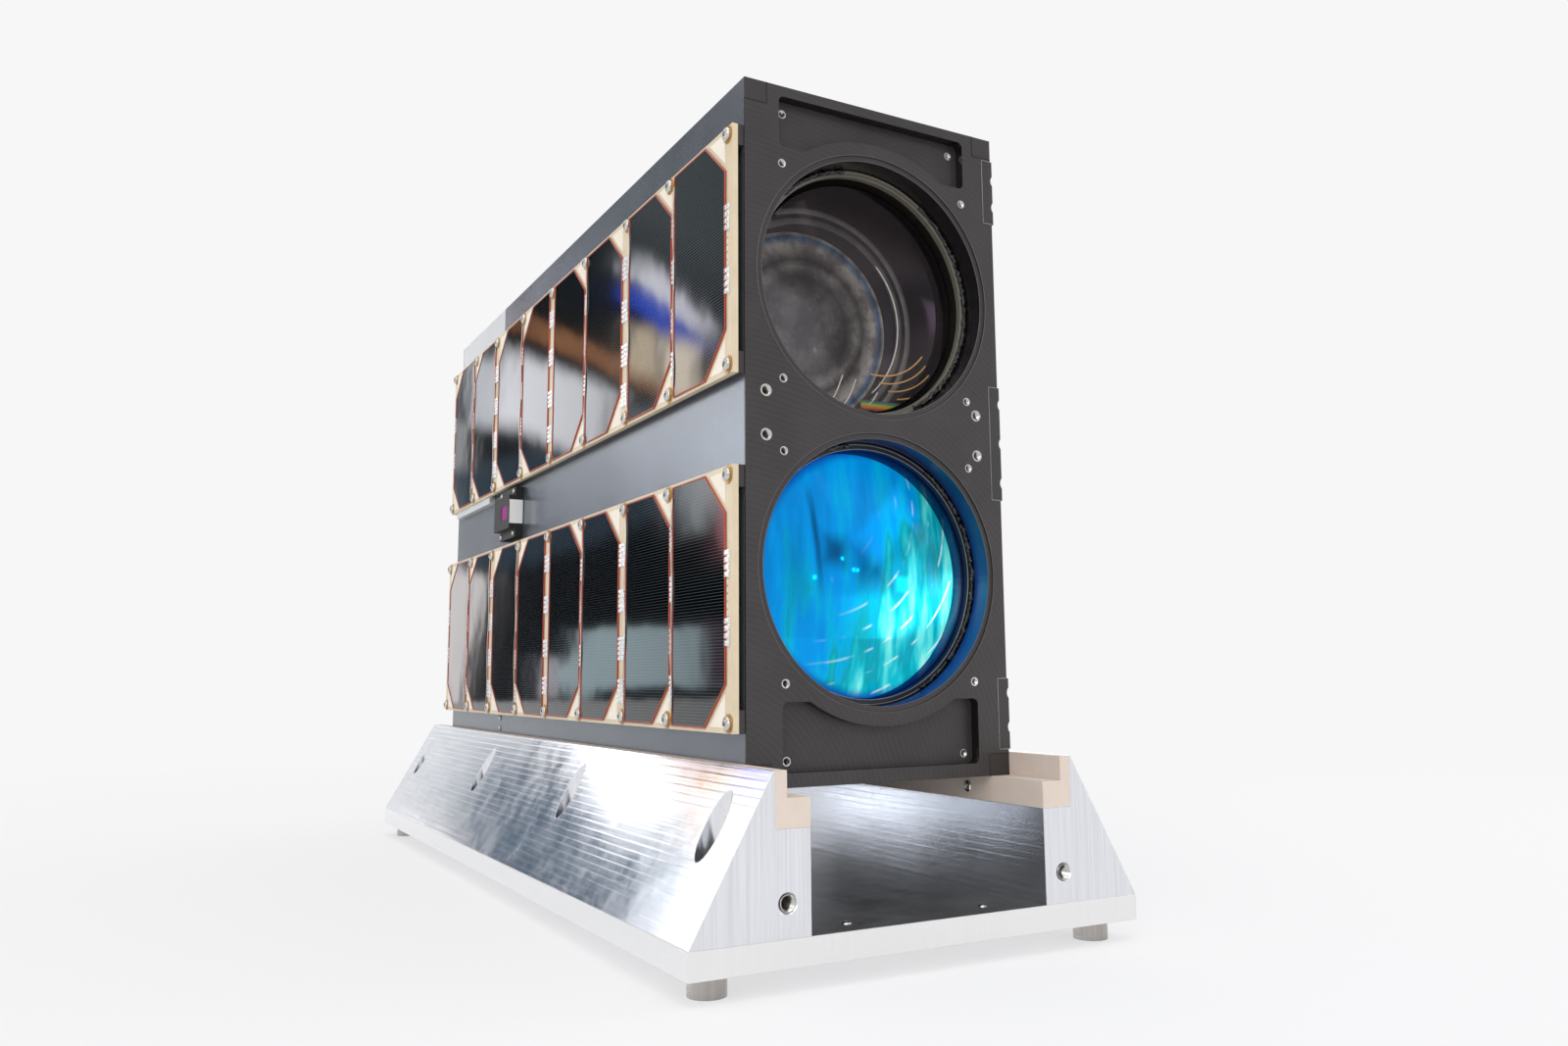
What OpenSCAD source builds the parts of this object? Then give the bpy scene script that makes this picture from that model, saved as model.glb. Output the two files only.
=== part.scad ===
// Small imaging satellite with two lens apertures, resting on its assembly cradle.
// Millimetres, +Z up. The origin is on the floor under the middle of the cradle.
// The lens face looks towards -Y and the solar panels are on the -X side.

/* [Satellite body] */
// Width across the body, X
body_w = 100; // [98:1:130]
// Length of the body, Y
body_l = 366; // [300:1:440]
// Height of the body, Z
body_h = 226.3; // [226.3:0.1:272]
// Thickness of the side, top and bottom skins
skin_t = 1.5; // [1:0.1:2.5]
// Thickness of the front and rear plates
plate_t = 8; // [7:0.5:10]
// Lip of an end plate in front of the skins
plate_lip = 0.6; // [0.4:0.1:1.5]
// Width of a corner rail, X
rail_w = 8.2; // [6:0.1:8.5]
// Height of a corner rail, Z
rail_h = 7.3; // [6:0.1:8.5]

/* [Lens apertures] */
// Distance between the two lens axes
axis_pitch = 96; // [95.5:0.5:100]
// Height of the midpoint between the axes above the body's underside
axis_mid = 115.5; // [113:0.5:118]
// Radius of the bore through the front plate
aperture_r = 43.8; // [36:0.1:44]
// Width of the shallow step round the bore
aperture_step_w = 1.9; // [0.5:0.1:2.5]
// Depth of that step
aperture_step = 0.5; // [0.3:0.1:1]
// Wall of a lens barrel round the front lens
barrel_wall = 3; // [1.5:0.1:3.4]
// Length of a lens barrel behind the front plate
barrel_l = 170; // [120:5:190]
// Thickness of the closed end of a barrel
barrel_end_t = 6; // [4:0.5:8]
// Depth of the retaining ring's front face below the front plate's face
ring_depth = 9; // [8.5:0.1:11]
// Height of a retaining ring, along the axis
ring_t = 2.4; // [1.5:0.1:3]
// Radial width of a retaining ring
ring_w = 2.2; // [1.5:0.1:4]
// Rise of the upper front lens at its middle
upper_lens_rise = 5; // [3:0.5:6]
// Rise of the lower front lens at its middle
lower_lens_rise = 7; // [4:0.5:8]
// Thickness of a front lens at its edge
lens_edge_t = 5; // [3:0.5:8]
// Depth of the inner lens cell below the front plate's face
cell_depth = 56; // [45:1:80]
// Wall of the inner cell round the inner lens
inner_cell_wall = 6.6; // [5:0.1:9]
// Length of the inner cell
inner_cell_l = 12; // [10:0.5:16]

/* [Front plate details] */
// Depth of the two milled pockets
pocket_d = 4; // [2:0.5:6]
// Distance from the plate's side edge to a pocket
pocket_side = 12.6; // [11:0.1:16]
// Width of the plate's edge above the upper pocket
upper_pocket_edge = 3.5; // [3:0.1:6]
// Height of the upper pocket at its two legs
upper_pocket_h = 17.4; // [15:0.1:20]
// Width of the plate's edge below the lower pocket
lower_pocket_edge = 4.4; // [3:0.1:6]
// Height of the lower pocket at its two legs
lower_pocket_h = 21.4; // [18:0.1:24]
// Radius of a pocket's corners
pocket_corner_r = 2; // [1:0.1:4]
// Width of the boss left round an aperture
boss_w = 6.2; // [4:0.1:8]
// Radius of a small threaded insert's hole
small_hole_r = 1.45; // [1:0.05:2]
// Radius of a large threaded insert's hole
large_hole_r = 2; // [1.5:0.05:2.5]
// Depth of the insert holes
insert_depth = 7; // [5:0.5:7.5]
// Thickness of an edge plate, X
edge_plate_t = 4.6; // [3:0.1:6]
// Depth of an edge plate, Y
edge_plate_d = 6; // [4:0.5:6.5]
// How far an edge plate stands out of the right side
edge_plate_out = 0.7; // [0.3:0.1:1.5]

/* [Solar panels] */
// Height of a solar panel board, Z
panel_h = 82; // [66:1:90]
// Thickness of the board
panel_t = 2; // [1.2:0.1:2.5]
// Gap between the board and the side skin
panel_gap = 2.2; // [1:0.1:3]
// Height of the strip of skin between the two boards
middle_strip = 29; // [26:0.5:36]
// Gap between the board's ends and the body's ends
panel_end = 0.3; // [0.1:0.1:3]
// Width of a solar cell, Y
cell_w = 40; // [30:0.5:60]
// Board left above and below a solar cell
cell_margin = 1.5; // [1:0.1:5]
// Thickness of a solar cell on its board
cell_t = 0.4; // [0.2:0.1:0.8]
// Size of a cell's clipped corner along Y
clip_y = 15; // [8:0.5:18]
// Size of a cell's clipped corner along Z
clip_z = 13.5; // [8:0.5:18]
// Height of a standoff bar behind a board
standoff_h = 7; // [4:0.5:10]

/* [Sun sensor] */
// How far the sun sensor stands out of the side skin
sensor_out = 7; // [5.5:0.5:10]
// Length of the sun sensor, Y
sensor_l = 26; // [20:1:40]
// Height of the sun sensor, Z
sensor_h = 16; // [12:0.5:18]
// Distance from the sensor's front face to the middle of the body
sensor_at = 54; // [30:1:90]
// Height of the screw ears above and below the sensor
sensor_ear_h = 4.2; // [3:0.1:5]
// Thickness of the screw ears
sensor_ear_t = 4; // [2:0.5:5]

/* [Cradle] */
// How far the base plate reaches past each side of the body, X
cradle_side = 30.2; // [26:0.1:45]
// How far the cradle reaches past each end of the body, Y
cradle_over = 25.2; // [20:0.1:50]
// Thickness of the base plate
base_t = 8; // [6:0.5:12]
// Height from the base plate to the body's underside
cradle_rise = 38; // [32:0.5:60]
// Height of the guide edge above the body's underside
guide_h = 7.6; // [5:0.1:12]
// Thickness of the guide strip's upright leg
guide_t = 3.8; // [3:0.1:6]
// Width of the seat under each bottom edge of the body
seat_w = 7.5; // [5:0.1:12]
// Thickness of the guide strip's lower leg
seat_t = 8.4; // [5:0.1:12]
// Flat left along a block's top edge
crest_w = 0.6; // [0.4:0.1:2]
// Radius of a foot
foot_r = 5.6; // [4:0.1:9]
// Height of a foot
foot_h = 6.5; // [4:0.5:12]
// Distance from the base plate's edges to a foot's centre
foot_inset = 10.5; // [9:0.5:16]
// Radius of the counterbores for the block bolts
counterbore_r = 5.5; // [4.5:0.1:6]
// Radius of the bolt holes below them
bolt_hole_r = 3.3; // [2.5:0.1:4]
// Distance from the base plate's side to the bolt line
bolt_line = 16.7; // [14:0.1:18]
// Distance from a block's ends to its first bolt
bolt_end = 19.2; // [12:0.1:40]
// Height of the counterbores' floor above the base plate
counterbore_floor = 7; // [4:0.5:10]
// Radius of the tapped holes in the blocks' ends
tapped_r = 2.5; // [2:0.1:3.5]
// Depth of those holes
tapped_depth = 15; // [10:1:25]
// Radius of the holes through the base plate
base_hole_r = 1.65; // [1.2:0.05:3]

/* [Hidden] */
$fn = 96;
eps = 0.01;
cut = 1;
far = 1000;
lens_fn = 200;

// Frame: heights of the cradle's levels and of the body's underside
base_z = foot_h;
deck_z = base_z + base_t;
body_z = deck_z + cradle_rise;
half_w = body_w / 2;
half_l = body_l / 2;
front_y = -half_l;
rear_y = half_l;
skin_y0 = front_y + plate_lip;
skin_y1 = rear_y - plate_lip;
top_z = body_z + body_h;
axis_z = [body_z + axis_mid + axis_pitch / 2, body_z + axis_mid - axis_pitch / 2];

// Radii that follow the aperture
aperture_step_r = aperture_r + aperture_step_w;
barrel_r = aperture_r + barrel_wall;
boss_r = aperture_r + boss_w;
pocket_half_w = half_w - pocket_side;

// Insert holes of the front plate: distances from its sides, and heights that follow the axes
small_hole_side = 13.7;
small_hole_x = half_w - small_hole_side;
small_hole_z = [axis_z[1] - 36.1, axis_z[1] + 36.7, axis_z[0] - 35.8, axis_z[0] + 36.1];
pocket_hole_side = 3.4;
pocket_hole_x = pocket_half_w - pocket_hole_side;
pocket_hole_edge = 7.6;
pocket_hole_z = [body_z + pocket_hole_edge, top_z - pocket_hole_edge];
large_hole_sides = [7.4, 9.8];
large_hole_x = [large_hole_sides[0] - half_w, half_w - large_hole_sides[1]];
large_hole_z = [body_z + axis_mid - 6.6, body_z + axis_mid + 7.6];

// Rear plate: its milled field, and the heights of the connector and the antenna
field_d = 2;
field_edge = 14;
field_y = rear_y - field_d;
connector_z = body_z + 50;
patch_z = body_z + 150;

// Access connector: its flange, the shell set in from the flange's edges, and the socket
connector_w = 38;
connector_h = 12;
connector_out = 7;
flange_t = 1.5;
shell_w = connector_w - 12;
shell_h = connector_h - 4;
shell_wall = 1;
socket_w = shell_w - 2 * shell_wall;
socket_h = shell_h - 2 * shell_wall;
socket_floor = 2;
socket_insert_t = 2;
flange_seat = 3;

// Patch antenna: the plate, and the metal square on it
patch_w = 62;
patch_t = 4;
patch_border = 6;
patch_metal_t = 0.5;

// Edge plates of the front's right side: middle, height, and the scallops' distances from
// the middle. The top one follows the body's top, and the bottom one its underside.
edge_plates = [
    [top_z - 19.85, 23.7, [-5.45, 4.55]],
    [body_z + body_h / 2 + 0.85, 40.2, [-14, 0, 14]],
    [body_z + 20.55, 23.7, [-4.55, 6.95]]
];
scallop_r = 2.6;
scallop_cut = 0.7;

// Solar panels: board and cell levels, outwards from the side skin
board_x = -half_w - panel_gap;
cell_x = board_x - panel_t;
board_mid = body_z + body_h / 2;
panel_pitch = panel_h + middle_strip;
board_z = [board_mid + panel_pitch / 2, board_mid - panel_pitch / 2];
cell_h = panel_h - 2 * cell_margin;

// Cells stand in pairs, and the pairs spread evenly from the middle of a board to its end
cell_end = 5;
pair_gap = 3;
middle_gap = 8;
pair_w = 2 * cell_w + pair_gap;
half_room = half_l - cell_end - middle_gap / 2;
pairs = max(1, floor((half_room + pair_gap) / (pair_w + pair_gap)));
pair_spread = pairs > 1 ? (half_room - pairs * pair_w) / (pairs - 1) : 0;
// Distances from the middle of the board to the near edge of each cell of one half
cell_starts = [for (i = [0:pairs - 1], j = [0, 1])
    middle_gap / 2 + i * (pair_w + pair_spread) + j * (cell_w + pair_gap)];

// Sun sensor: its height, and its window, from the sensor's front face
sensor_rise = 0.45;
sensor_z = board_mid + sensor_rise;
window_in = 4;
window_l = 9.5;
window_h = 7;
window_pocket = 1;
window_recess = 0.3;

// Lens parts: the front lens's dome, the bore behind the lens, and the inner cell and lens.
// The inner cell rests on a shoulder of the barrel, whose bore clears the inner lens.
lens_r = aperture_r - ring_w;
lens_seat_w = 2;
lens_seat_r = lens_r - lens_seat_w;
lens_y = front_y + ring_depth + ring_t;
inner_lens_r = lens_seat_r - inner_cell_wall;
cell_y = front_y + cell_depth;
shoulder_clear = 2;
inner_lens_set = 6;
inner_lens_edge_t = 5;
inner_lens_rise = 4;

// Cradle
cradle_l = body_l + 2 * cradle_over;
base_x = half_w + cradle_side;
block_x = half_w - seat_w;
guide_x = half_w + guide_t;
crest_z = body_z + guide_h;
seat_z = body_z - seat_t;
bolt_x = base_x - bolt_line;
bolt_pitch = (cradle_l - 2 * bolt_end) / 3;
base_hole_x = half_w / 2;
base_hole_end = 10;
block_hole_x = half_w;
block_hole_rise = 9.5;
block_hole_z = deck_z + block_hole_rise;
tapped_chamfer = 0.6;

// Rear corner cover, which reaches down to the upper board, and the strip below that board
// from the sensor to the rear plate
cover_l = 88;
cover_gap = 0.65;
cover_z = board_z[0] + panel_h / 2 + cover_gap;
strip_gap = 25.7;
strip_out = 3;
strip_h = 3.4;

// Access panels: margin inside the body's edges, and thickness
access_margin = 13;
access_t = 0.7;

// Electronics block: clearance behind the barrels and below the top skin
stack_gap = 8;
stack_top = 14;

// A box given by its low corner and its high corner
module box_between(low, high) {
    translate(low)
        cube(high - low);
}

// A cylinder along +Y from y0 to y1 about the axis through x, z
module rod_y(x, z, r, y0, y1) {
    translate([x, y0, z])
        rotate([-90, 0, 0])
            cylinder(r = r, h = y1 - y0);
}

// A ring along +Y from y0 to y1
module ring_y(x, z, r_out, r_in, y0, y1) {
    difference() {
        rod_y(x, z, r_out, y0, y1);
        rod_y(x, z, r_in, y0 - eps, y1 + eps);
    }
}

// A profile in X and Z, extruded along +Y from y0 to y1
module prism_y(points, y0, y1) {
    translate([0, y1, 0])
        rotate([90, 0, 0])
            linear_extrude(y1 - y0)
                polygon(points);
}

/* ---- end plates ---- */

// An end plate's blank: the full outline at its lip, the inner outline behind it,
// and the four corners left to the rails
module end_plate_blank() {
    difference() {
        union() {
            box_between([-half_w, front_y, body_z], [half_w, front_y + plate_lip, top_z]);
            box_between(
                [-half_w + skin_t, front_y, body_z + skin_t],
                [half_w - skin_t, front_y + plate_t, top_z - skin_t]
            );
        }
        for (x = [-half_w, half_w - rail_w], z = [body_z, top_z - rail_h])
            box_between([x - eps, front_y - eps, z - eps],
                [x + rail_w + eps, front_y + plate_t + eps, z + rail_h + eps]);
    }
}

// One milled pocket beside an aperture, as a cut: round corners, less the aperture's boss
module pocket(axis, low, high) {
    r = pocket_corner_r;
    difference() {
        union() {
            box_between([-pocket_half_w + r, front_y - cut, low],
                [pocket_half_w - r, front_y + pocket_d, high]);
            box_between([-pocket_half_w, front_y - cut, low + r],
                [pocket_half_w, front_y + pocket_d, high - r]);
            for (x = [-pocket_half_w + r, pocket_half_w - r], z = [low + r, high - r])
                rod_y(x, z, r, front_y - cut, front_y + pocket_d);
        }
        rod_y(0, axis, boss_r, front_y - 2 * cut, front_y + plate_t);
    }
}

// The slots that the edge plates lie in, cut from x_low outwards
module edge_plate_slots(x_low) {
    for (plate = edge_plates)
        box_between([x_low, front_y - cut, plate[0] - plate[1] / 2],
            [half_w + cut, front_y + edge_plate_d, plate[0] + plate[1] / 2]);
}

module front_plate() {
    color("#3f3c3d")
    difference() {
        end_plate_blank();
        for (z = axis_z) {
            rod_y(0, z, aperture_r, front_y - cut, front_y + plate_t + cut);
            rod_y(0, z, aperture_step_r, front_y - cut, front_y + aperture_step);
        }
        pocket(axis_z[0], top_z - upper_pocket_edge - upper_pocket_h, top_z - upper_pocket_edge);
        pocket(axis_z[1], body_z + lower_pocket_edge, body_z + lower_pocket_edge + lower_pocket_h);
        for (x = [-small_hole_x, small_hole_x], z = small_hole_z)
            rod_y(x, z, small_hole_r, front_y - cut, front_y + insert_depth);
        for (x = large_hole_x, z = large_hole_z)
            rod_y(x, z, large_hole_r, front_y - cut, front_y + insert_depth);
        for (x = [-pocket_hole_x, pocket_hole_x], z = pocket_hole_z)
            rod_y(x, z, small_hole_r, front_y, front_y + insert_depth);
        edge_plate_slots(half_w - edge_plate_t + edge_plate_out);
    }
}

module rear_plate() {
    color("#3f3c3d")
    difference() {
        mirror([0, 1, 0])
            end_plate_blank();
        // A shallow milled field between the corner rails
        box_between([-pocket_half_w, field_y, body_z + field_edge],
            [pocket_half_w, rear_y + cut, top_z - field_edge]);
        // The opening behind the access connector
        field_box(connector_w - 2 * flange_seat, connector_h - 2 * flange_seat, connector_z,
            -plate_t, cut);
    }
}

// A box on the rear plate's milled field, centred in X: width, height, middle height,
// and how far it reaches from low to high outwards from the field's floor
module field_box(w, h, z, low, high) {
    box_between([-w / 2, field_y + low, z - h / 2], [w / 2, field_y + high, z + h / 2]);
}

// The access connector of the rear plate: a flanged shell round a socket
module access_connector() {
    color("#a8a49a")
    difference() {
        union() {
            field_box(connector_w, connector_h, connector_z, 0, flange_t);
            field_box(shell_w, shell_h, connector_z, 0, connector_out);
        }
        field_box(socket_w, socket_h, connector_z, socket_floor, connector_out + cut);
    }
}

// The insulating block inside the connector's shell
module access_connector_insert() {
    color("#1f2a24")
    field_box(socket_w, socket_h, connector_z, socket_floor, socket_floor + socket_insert_t);
}

// A flat square antenna on the rear plate
module patch_antenna() {
    metal_w = patch_w - 2 * patch_border;
    color("#e9e4d6")
    union() {
        field_box(patch_w, patch_w, patch_z, 0, patch_t);
        field_box(metal_w, metal_w, patch_z, patch_t, patch_t + patch_metal_t);
    }
}

/* ---- skins and rails ---- */

module left_skin() {
    color("#7d828a")
    difference() {
        box_between([-half_w, skin_y0, body_z], [-half_w + skin_t, skin_y1, top_z]);
        box_between([-half_w - cut, rear_y - cover_l, cover_z],
            [-half_w + skin_t + cut, rear_y, top_z + cut]);
    }
}

module rear_corner_cover() {
    color("#c9cccf")
    box_between([-half_w, rear_y - cover_l, cover_z], [-half_w + skin_t, skin_y1, top_z]);
}

module right_skin() {
    color("#55585d")
    difference() {
        box_between([half_w - skin_t, skin_y0, body_z], [half_w, skin_y1, top_z]);
        edge_plate_slots(half_w - skin_t - cut);
    }
}

module top_skin() {
    color("#6b6f75")
    box_between([-half_w + skin_t, skin_y0, top_z - skin_t], [half_w - skin_t, skin_y1, top_z]);
}

module bottom_skin() {
    color("#4b4c50")
    box_between([-half_w + skin_t, skin_y0, body_z], [half_w - skin_t, skin_y1, body_z + skin_t]);
}

// A thin cover screwed to the right side
module right_access_panel() {
    color("#5f6268")
    box_between([half_w, front_y + access_margin, body_z + access_margin],
        [half_w + access_t, rear_y - access_margin, top_z - access_margin]);
}

// A thin cover screwed to the top
module top_access_panel() {
    color("#70747a")
    box_between([-half_w + access_margin, front_y + access_margin, top_z],
        [half_w - access_margin, rear_y - access_margin, top_z + access_t]);
}

// A corner rail: a bar inside the skins with an end pad on each end plate.
// side is -1 on the left and 1 on the right, level is 0 at the bottom and 1 at the top.
module rail(side, level) {
    z_low = level == 1 ? top_z - rail_h : body_z;
    color("#4a4848")
    mirror([side == 1 ? 1 : 0, 0, 0]) {
        box_between(
            [-half_w + skin_t, skin_y0, level == 1 ? z_low : z_low + skin_t],
            [-half_w + rail_w, skin_y1, level == 1 ? top_z - skin_t : z_low + rail_h]
        );
        for (y = [front_y, skin_y1])
            box_between([-half_w, y, z_low], [-half_w + rail_w, y + plate_lip, z_low + rail_h]);
    }
}

module rail_top_left() { rail(-1, 1); }
module rail_top_right() { rail(1, 1); }
module rail_bottom_left() { rail(-1, 0); }
module rail_bottom_right() { rail(1, 0); }

/* ---- edge plates of the right side ---- */

// A small plate let into the front's right edge, with shallow scallops in its outer face
module edge_plate(plate) {
    z_mid = plate[0];
    h = plate[1];
    color("#4f4d4f")
    difference() {
        box_between([half_w - edge_plate_t + edge_plate_out, front_y, z_mid - h / 2],
            [half_w + edge_plate_out, front_y + edge_plate_d, z_mid + h / 2]);
        for (offset = plate[2])
            rod_y(half_w + edge_plate_out + scallop_r - scallop_cut, z_mid + offset, scallop_r,
                front_y - cut, front_y + edge_plate_d + cut);
    }
}

module edge_plate_top() { edge_plate(edge_plates[0]); }
module edge_plate_middle() { edge_plate(edge_plates[1]); }
module edge_plate_bottom() { edge_plate(edge_plates[2]); }

/* ---- lens assemblies ---- */

// A barrel: an open tube behind the front plate, closed at its rear end
module barrel(z) {
    y0 = front_y + plate_t;
    y1 = y0 + barrel_l;
    color("#1b1b1d")
    difference() {
        rod_y(0, z, barrel_r, y0, y1);
        rod_y(0, z, aperture_r, y0 - cut, lens_y + lens_edge_t);
        rod_y(0, z, lens_seat_r, y0 - cut, cell_y);
        rod_y(0, z, inner_lens_r + shoulder_clear, y0 - cut, y1 - barrel_end_t);
    }
}

// A retaining ring in front of a lens's edge
module lens_ring(z) {
    color("#5c594f")
    ring_y(0, z, aperture_r, lens_r, front_y + ring_depth, lens_y);
}

// A lens with a domed front face: its edge is a cylinder of radius r and its dome rises towards -Y
module domed_lens(z, r, y_edge, edge_t, rise) {
    dome_r = (r * r + rise * rise) / (2 * rise);
    intersection() {
        rod_y(0, z, r, y_edge - rise - cut, y_edge + edge_t);
        translate([0, y_edge - rise + dome_r, z])
            rotate([90, 0, 0])
                sphere(r = dome_r, $fn = lens_fn);
    }
}

// The front lens sits behind its retaining ring and fills the barrel's front seat
module front_lens(z, rise) {
    union() {
        rod_y(0, z, aperture_r, lens_y, lens_y + lens_edge_t);
        domed_lens(z, lens_r, lens_y, eps, rise);
    }
}

// The inner cell: a ring in the barrel that carries the inner lens
module inner_cell(z) {
    color("#4d4b49")
    ring_y(0, z, lens_seat_r, inner_lens_r, cell_y - inner_cell_l, cell_y);
}

module inner_lens(z) {
    color("#b9c4c6")
    domed_lens(z, inner_lens_r, cell_y - inner_lens_set, inner_lens_edge_t, inner_lens_rise);
}

module upper_barrel() { barrel(axis_z[0]); }
module upper_lens_ring() { lens_ring(axis_z[0]); }
module upper_front_lens() { color("#7f8c8d") front_lens(axis_z[0], upper_lens_rise); }
module upper_inner_cell() { inner_cell(axis_z[0]); }
module upper_inner_lens() { inner_lens(axis_z[0]); }
module lower_barrel() { barrel(axis_z[1]); }
module lower_lens_ring() { lens_ring(axis_z[1]); }
module lower_front_lens() { color("#18a6e0") front_lens(axis_z[1], lower_lens_rise); }
module lower_inner_cell() { inner_cell(axis_z[1]); }
module lower_inner_lens() { inner_lens(axis_z[1]); }

/* ---- solar panels ---- */

module panel_board(z) {
    color("#efe2c0")
    box_between([cell_x, front_y + panel_end, z - panel_h / 2],
        [board_x, rear_y - panel_end, z + panel_h / 2]);
}

// One cell, from y 0 to cell_w, with the two corners at y 0 clipped
module solar_cell() {
    translate([cell_x, 0, 0])
        rotate([90, 0, -90])
            linear_extrude(cell_t)
                polygon([
                    [0, -cell_h / 2 + clip_z],
                    [-clip_y, -cell_h / 2],
                    [-cell_w, -cell_h / 2],
                    [-cell_w, cell_h / 2],
                    [-clip_y, cell_h / 2],
                    [0, cell_h / 2 - clip_z]
                ]);
}

// Eight cells: the front four are clipped towards the front, the rear four towards the rear
module panel_cells(z) {
    color("#26282c")
    for (start = cell_starts) {
        translate([0, -start - cell_w, z])
            solar_cell();
        mirror([0, 1, 0])
            translate([0, -start - cell_w, z])
                solar_cell();
    }
}

// Two bars that hold a board off the side skin
module panel_standoffs(z) {
    color("#3a393b")
    for (side = [-1, 1])
        translate([0, 0, z + side * (panel_h - standoff_h) / 2])
            box_between([board_x, front_y + panel_end, -standoff_h / 2],
                [-half_w, rear_y - panel_end, standoff_h / 2]);
}

module upper_panel_board() { panel_board(board_z[0]); }
module upper_panel_cells() { panel_cells(board_z[0]); }
module upper_panel_standoffs() { panel_standoffs(board_z[0]); }
module lower_panel_board() { panel_board(board_z[1]); }
module lower_panel_cells() { panel_cells(board_z[1]); }
module lower_panel_standoffs() { panel_standoffs(board_z[1]); }

// A light strip on the skin just below the upper board's rear end
module panel_strip() {
    z1 = board_z[0] - panel_h / 2;
    color("#b4b6b8")
    box_between([-half_w - strip_out, sensor_at + sensor_l + strip_gap, z1 - strip_h],
        [-half_w, rear_y - plate_t, z1]);
}

/* ---- sun sensor ---- */

// The window's outline, from low to high inwards from the sensor's outer face
module window_box(low, high) {
    box_between([-half_w - sensor_out + low, sensor_at + window_in, sensor_z - window_h / 2],
        [-half_w - sensor_out + high, sensor_at + window_in + window_l, sensor_z + window_h / 2]);
}

module sun_sensor_body() {
    ear_z = sensor_h / 2 + sensor_ear_h;
    color("#222224")
    difference() {
        union() {
            box_between([-half_w - sensor_out, sensor_at, sensor_z - sensor_h / 2],
                [-half_w, sensor_at + sensor_l, sensor_z + sensor_h / 2]);
            box_between([-half_w - sensor_ear_t, sensor_at, sensor_z - ear_z],
                [-half_w, sensor_at + sensor_l, sensor_z + ear_z]);
        }
        window_box(-cut, window_pocket);
    }
}

module sun_sensor_window() {
    color("#d066b8")
    window_box(window_recess, window_pocket);
}

/* ---- mass inside ---- */

// The electronics and battery stack behind the barrels, as one plain block
module electronics_block() {
    color("#5a5f50")
    box_between(
        [-half_w + rail_w, front_y + plate_t + barrel_l + stack_gap, body_z + skin_t],
        [half_w - rail_w, rear_y - plate_t, top_z - stack_top]
    );
}

/* ---- cradle ---- */

module cradle_base() {
    color("#c3c7cb")
    difference() {
        box_between([-base_x, -cradle_l / 2, base_z], [base_x, cradle_l / 2, deck_z]);
        for (x = [-base_hole_x, base_hole_x], y = [-1, 1] * (cradle_l / 2 - base_hole_end))
            translate([x, y, base_z - cut])
                cylinder(r = base_hole_r, h = base_t + 2 * cut);
    }
}

// A block of the left side: sloped outside, stepped inside for the guide strip,
// counterbored from above for its bolts and tapped at both ends
module cradle_block() {
    profile = [
        [-base_x, deck_z],
        [-block_x, deck_z],
        [-block_x, seat_z],
        [-guide_x, seat_z],
        [-guide_x, crest_z],
        [-guide_x - crest_w, crest_z]
    ];
    color("#d3d6d9")
    difference() {
        prism_y(profile, -cradle_l / 2, cradle_l / 2);
        for (i = [-1.5, -0.5, 0.5, 1.5])
            translate([-bolt_x, i * bolt_pitch, deck_z]) {
                translate([0, 0, -cut])
                    cylinder(r = bolt_hole_r, h = counterbore_floor + 2 * cut);
                translate([0, 0, counterbore_floor])
                    cylinder(r = counterbore_r, h = far);
            }
        for (end = [0, 1])
            mirror([0, end, 0])
                translate([-block_hole_x, -cradle_l / 2, block_hole_z])
                    rotate([-90, 0, 0]) {
                        translate([0, 0, -cut])
                            cylinder(r = tapped_r, h = tapped_depth + cut);
                        translate([0, 0, -eps])
                            cylinder(r1 = tapped_r + tapped_chamfer, r2 = tapped_r, h = tapped_chamfer);
                    }
    }
}

module cradle_block_left() { cradle_block(); }
module cradle_block_right() { mirror([1, 0, 0]) cradle_block(); }

// The strip that the body's bottom edge rests in: an L of pale plastic
module guide_strip() {
    profile = [
        [-guide_x, seat_z],
        [-block_x, seat_z],
        [-block_x, body_z],
        [-half_w, body_z],
        [-half_w, crest_z],
        [-guide_x, crest_z]
    ];
    color("#cdbba9")
    prism_y(profile, -cradle_l / 2, cradle_l / 2);
}

module guide_strip_left() { guide_strip(); }
module guide_strip_right() { mirror([1, 0, 0]) guide_strip(); }

// A foot of the cradle; side and end are -1 or 1
module foot(side, end) {
    color("#b8b2aa")
    translate([side * (base_x - foot_inset), end * (cradle_l / 2 - foot_inset), 0])
        cylinder(r = foot_r, h = foot_h);
}

module foot_front_left() { foot(-1, -1); }
module foot_front_right() { foot(1, -1); }
module foot_rear_left() { foot(-1, 1); }
module foot_rear_right() { foot(1, 1); }

front_plate();
rear_plate();
left_skin();
right_skin();
top_skin();
bottom_skin();
rail_top_left();
rail_top_right();
rail_bottom_left();
rail_bottom_right();
access_connector();
access_connector_insert();
patch_antenna();
right_access_panel();
top_access_panel();
rear_corner_cover();
edge_plate_top();
edge_plate_middle();
edge_plate_bottom();
upper_barrel();
upper_lens_ring();
upper_front_lens();
upper_inner_cell();
upper_inner_lens();
lower_barrel();
lower_lens_ring();
lower_front_lens();
lower_inner_cell();
lower_inner_lens();
upper_panel_board();
upper_panel_cells();
upper_panel_standoffs();
lower_panel_board();
lower_panel_cells();
lower_panel_standoffs();
panel_strip();
sun_sensor_body();
sun_sensor_window();
electronics_block();
cradle_base();
cradle_block_left();
cradle_block_right();
guide_strip_left();
guide_strip_right();
foot_front_left();
foot_front_right();
foot_rear_left();
foot_rear_right();
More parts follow.
